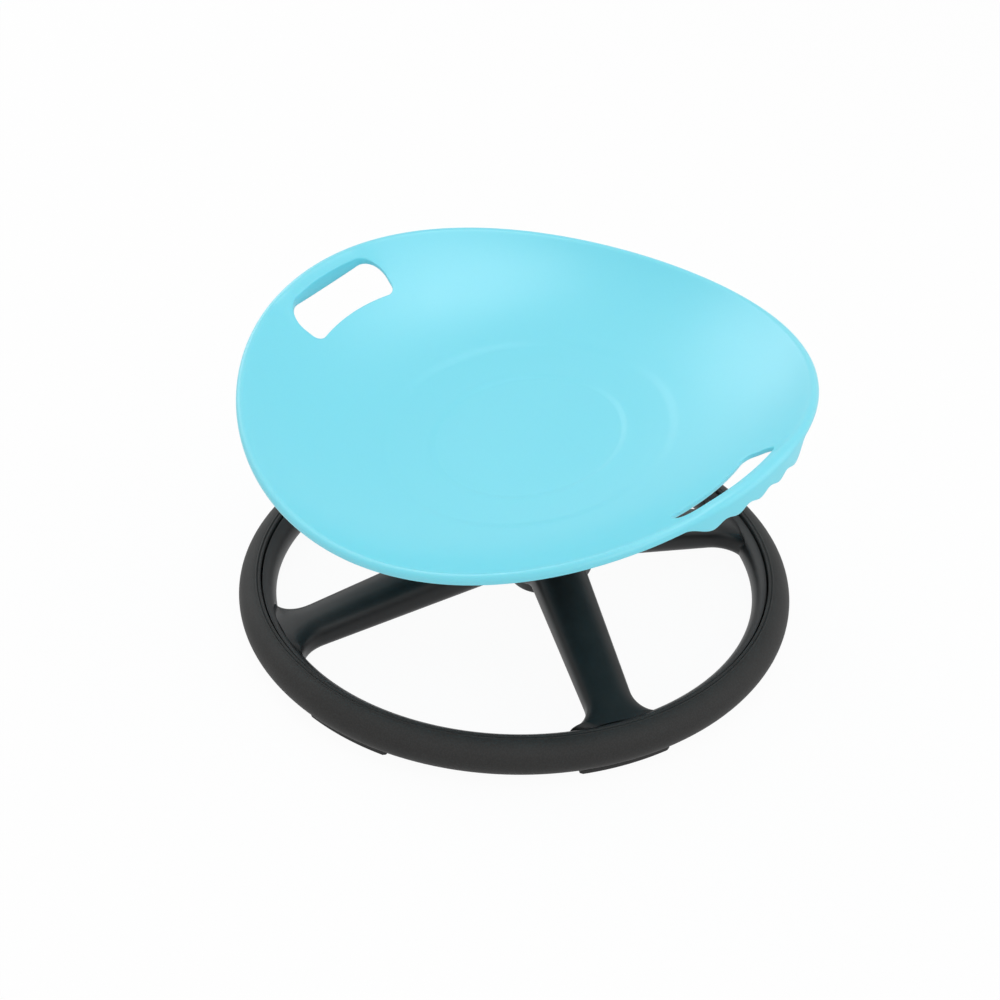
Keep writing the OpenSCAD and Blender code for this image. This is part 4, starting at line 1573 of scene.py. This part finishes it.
    def build(self, shop: Workshop) -> None:
        """Builds and dresses the frame.

        Args:
            shop: Materials and patterns.
        """
        piece, spokes, over = self.rim(), range(self.spoke_count), self.cut_over
        combine(piece, [*(self.spoke(k) for k in spokes), self.hub()], Join.UNITE)
        cuts = [p for k in spokes for p in self.pocket_shapes(k)]
        bores = {
            "tube_bore": (self.tube_r, self.tube_s0, self.hub_s[1] + 2 * over),
            "foot_bore": (self.foot_bore_r, self.hub_s[0] - 2 * over, self.tube_s0 + over),
        }
        for name, (r, low, high) in bores.items():
            cuts.append(self.solid_of_turning(name, [(r, low), (r, high)]))
        combine(piece, cuts, Join.CUT)
        weld(piece)
        shade(piece, angle=35)
        shop.hand_over(piece, Body.BASE, "base_frame", Finish.frame_plastic)


@dataclass
class RingCover:
    """The grained cover round the ring, with two beads at its inner edge."""

    ring: Ring
    bead_r: float = 0.9
    bead_sunk: float = 0.5
    bead_below: float = 0.3
    divisions: int = 360

    def outline(self) -> Profile:
        """Section of the cover.

        Returns:
            Points (radius, height), counter-clockwise.
        """
        ring = self.ring
        r, gap, inner, top = ring.height / 2, ring.gap, ring.cover_r, ring.top_z
        centre = ring.outer_r - r
        step, foot = ring.flange_r + gap, ring.pad_t + ring.flange_t + gap
        key_r, key_low, key_high = ring.tongue_r + gap, ring.tongue_z[0] - gap, ring.tongue_z[1] + gap
        low = math.degrees(math.asin(-math.sqrt(r * r - (step - centre) ** 2) / r))
        rise = math.degrees(math.asin(self.bead_sunk))
        beads = []
        for place in (inner + 4 * self.bead_r, inner + self.bead_r):
            beads += arc(place, top - self.bead_r * self.bead_sunk, self.bead_r, rise, 180 - rise, steps=6)
        return [
            *arc(centre, ring.mid_z, r, low, 90, steps=28), *beads, (inner, top - self.bead_below),
            (inner, key_high), (key_r, key_high), (key_r, key_low), (inner, key_low),
            (inner, foot), (step, foot)]

    def build(self, shop: Workshop) -> None:
        """Builds and dresses the cover.

        Args:
            shop: Materials and patterns.
        """
        path_r = (self.ring.outer_r + self.ring.cover_r) / 2
        # The sweep lays the outline's second axis downwards
        flat = np.array([(r - path_r, -z, 0.0) for r, z in self.outline()])
        helper = mesh_object("cover_outline", flat, [], edges=loop_edges(0, len(flat)))
        piece = tree_mesh(shop.patterns.sweep, "ring_cover_body", {
            "Outline": helper, "Radius": path_r * MM, "Divisions": self.divisions,
            "Material": shop.materials[Finish.cover_plastic]})
        discard(helper)
        shade(face_outward(piece), angle=32)
        shop.hand_over(piece, Body.BASE, "ring_cover", Finish.cover_plastic)


@dataclass
class FootPads:
    """The rubber pads under the ring, with rounded edges and ends."""

    ring: Ring
    count: int = 6
    arc_deg: float = 20.0
    width: float = 12.5
    soft: float = 1.0
    end_lift: float = 0.5
    sections: int = 33

    def build(self, shop: Workshop) -> None:
        """Builds and dresses the pads.

        Args:
            shop: Materials and patterns.
        """
        top, soft = self.ring.pad_t, self.soft
        half_w, half_a = self.width / 2, math.radians(self.arc_deg / 2)
        mid = self.ring.pad_r + half_w
        rows = []
        for angle in np.linspace(-half_a, half_a, self.sections):
            reach = (half_a - abs(angle)) * mid
            pull = soft - math.sqrt(max(0.0, soft**2 - max(0.0, soft - reach) ** 2))
            w, low = half_w - pull, pull * self.end_lift + soft
            section = [(mid + w, top), (mid - w, top), *arc(mid - w + soft, low, soft, 180, 270, steps=4),
                       *arc(mid + w - soft, low, soft, -90, 0, steps=4)]
            rows.append([(r * math.cos(angle), r * math.sin(angle), z) for r, z in section])
        helper = face_outward(mesh_object("pad_helper", *lofted(np.array(rows))))
        piece = tree_mesh(shop.patterns.ring, "foot_pad_set", {
            "Shape": helper, "Count": self.count, "First angle": 0.0,
            "Material": shop.materials[Finish.pad_rubber]})
        discard(helper)
        shade(piece)
        shop.hand_over(piece, Body.BASE, "foot_pads", Finish.pad_rubber)


@dataclass
class Hardware:
    """The bearings, spindle and fasteners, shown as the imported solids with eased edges."""

    weld_mm: float = 0.001
    edge_mm: float = 0.35
    edge_segments: int = 2
    edge_angle: float = 50.0
    nodes: dict[Finish, tuple[str, ...]] = field(default_factory=lambda: {
        Finish.shaft_steel: ("bearing_tube", "seat_bolts", "bolt_washers", "spindle", "spacer_sleeve",
                             "spindle_washer", "spindle_nut"),
        Finish.bearing_steel: ("upper_outer_race", "lower_outer_race", "upper_inner_race",
                               "lower_inner_race", "upper_balls", "lower_balls"),
        Finish.seal_rubber: ("upper_seals", "lower_seals"),
        Finish.cage_nylon: ("upper_cage", "lower_cage"),
        Finish.frame_plastic: ("bearing_cover", "hub_cap"),
        Finish.spring_steel: ("bearing_circlip",),
        Finish.insert_brass: ("seat_inserts",),
        Finish.plate_paint: ("mounting_plate",)})
    eased: tuple[str, ...] = ("bearing_cover", "hub_cap", "mounting_plate", "seat_bolts", "bolt_washers",
                              "spindle", "spindle_nut", "spindle_washer", "bearing_tube")

    def build(self, shop: Workshop) -> None:
        """Dresses every carried solid and eases the edges of the larger ones.

        Args:
            shop: Materials and patterns.
        """
        for name, finish in ((name, finish) for finish, names in self.nodes.items() for name in names):
            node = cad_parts[name]
            shop.dress(node, finish)
            node.modifiers.new("Weld", "WELD").merge_threshold = self.weld_mm * MM
            if name in self.eased:
                bevel = node.modifiers.new("Eased edge", "BEVEL")
                bevel.width = self.edge_mm * MM
                bevel.segments = self.edge_segments
                bevel.limit_method = "ANGLE"
                bevel.angle_limit = math.radians(self.edge_angle)
            log.info("%s: carried solid in %s", name, finish.name)


# Studio


@dataclass(frozen=True)
class Lamp:
    """A soft square lamp, with its place and size in metres and its power in watts."""

    name: str
    place: Triple
    size: float
    power: float

    def hang(self, aim: Vector) -> None:
        """Hangs the lamp in the scene.

        Args:
            aim: The point that it faces.
        """
        data = bpy.data.lights.new(self.name, "AREA")
        data.size, data.energy = self.size, self.power
        lamp = in_scene(self.name, data)
        lamp.location = self.place
        lamp.rotation_euler = (aim - Vector(self.place)).to_track_quat("-Z", "Y").to_euler()


@dataclass
class Studio:
    """The camera, lights and pale floor, in metres."""

    camera_place: Triple = (1.31929, -0.59048, 1.13834)
    camera_turn: Triple = (54.3957, -0.8461, 67.0186)
    lens: float = 78.264
    sensor: float = 36.0
    clip_end: float = 100.0
    world_level: float = 0.55
    floor_half: float = 6.0
    floor_tones: Pair = (0.86, 0.9)
    floor_rough: float = 0.9
    floor_glow: float = 0.95
    aim: Triple = (0.0, 0.0, 0.12)
    lamps: tuple[Lamp, ...] = (
        Lamp("sheen", (-2.35, -0.75, 1.3), 1.7, 14.0),
        Lamp("top", (-0.05, 0.05, 2.3), 1.1, 10.0),
        Lamp("front", (2.2, -0.9, 2.2), 1.8, 16.0),
        Lamp("fill", (1.2, 1.8, 1.1), 2.0, 11.0),
    )

    def camera(self) -> None:
        """Sets the camera at the photograph's view."""
        data = bpy.data.cameras.new("camera")
        data.lens, data.sensor_width = self.lens, self.sensor
        data.clip_end = self.clip_end
        camera = in_scene("camera", data)
        camera.location = self.camera_place
        camera.rotation_euler = Euler([math.radians(a) for a in self.camera_turn])
        bpy.context.scene.camera = camera

    @staticmethod
    def seen(wire: Wiring) -> Socket:
        """Tells the rays that show a surface from those that carry light.

        Args:
            wire: Wiring of a material or of the world.

        Returns:
            1 for rays from the camera, and for mirrored and passing rays; 0 for light.
        """
        path = wire.add("ShaderNodeLightPath").outputs
        shown = wire.math("MAXIMUM", path["Is Camera Ray"], path["Is Glossy Ray"])
        return wire.math("MAXIMUM", shown, path["Is Transmission Ray"])

    def world(self) -> None:
        """A white surround that lights at its own level."""
        world = bpy.data.worlds.new("studio")
        bpy.context.scene.world = world
        world.use_nodes = True
        wire = Wiring(world.node_tree)
        background = world.node_tree.nodes["Background"].inputs
        wire.put(background["Color"], WHITE)
        level = wire.times(self.seen(wire), 1 - self.world_level)
        wire.put(background["Strength"], wire.plus(level, self.world_level))

    def floor(self) -> None:
        """A white floor that keeps the object's shadow."""
        h = self.floor_half / MM
        corners = np.array([(-h, -h, 0), (h, -h, 0), (h, h, 0), (-h, h, 0)])
        piece = mesh_object("floor", corners, [(0, 1, 2, 3)])
        material = bpy.data.materials.new("studio floor")
        material.use_nodes = True
        nodes = material.node_tree.nodes
        wire = Wiring(material.node_tree)
        shader = nodes["Principled BSDF"]
        cloud = wire.noise(wire.add("ShaderNodeTexCoord").outputs["Object"], scale=3.0, detail=3.0)
        dark, pale = (rgba((tone, tone, tone)) for tone in self.floor_tones)
        wire.put(shader.inputs["Base Color"], wire.mix(cloud, dark, pale))
        wire.put(shader.inputs["Roughness"], self.floor_rough)
        glow = wire.add("ShaderNodeEmission", {"Color": WHITE, "Strength": 1.0})
        share = wire.times(self.seen(wire), self.floor_glow)
        both = wire.add("ShaderNodeMixShader", {0: share, 1: shader.outputs[0], 2: glow.outputs[0]})
        wire.put(nodes["Material Output"].inputs["Surface"], both.outputs[0])
        piece.data.materials.append(material)

    def build(self) -> None:
        """Builds the studio."""
        self.camera()
        self.world()
        self.floor()
        for lamp in self.lamps:
            lamp.hang(Vector(self.aim))
        bpy.context.scene.view_settings.view_transform = "Standard"


def main() -> None:
    """Builds the studio and every sub-assembly in order."""
    logging.basicConfig(level=logging.INFO, format="%(message)s")
    Studio().build()
    shop, spindle, ring = Workshop.open(), Spindle(), Ring()
    for part in (BaseFrame(spindle, ring), RingCover(ring), FootPads(ring), SeatShell(spindle), Hardware()):
        part.build(shop)
        log.info("%s done", type(part).__name__)


if __name__ == "__main__":
    main()
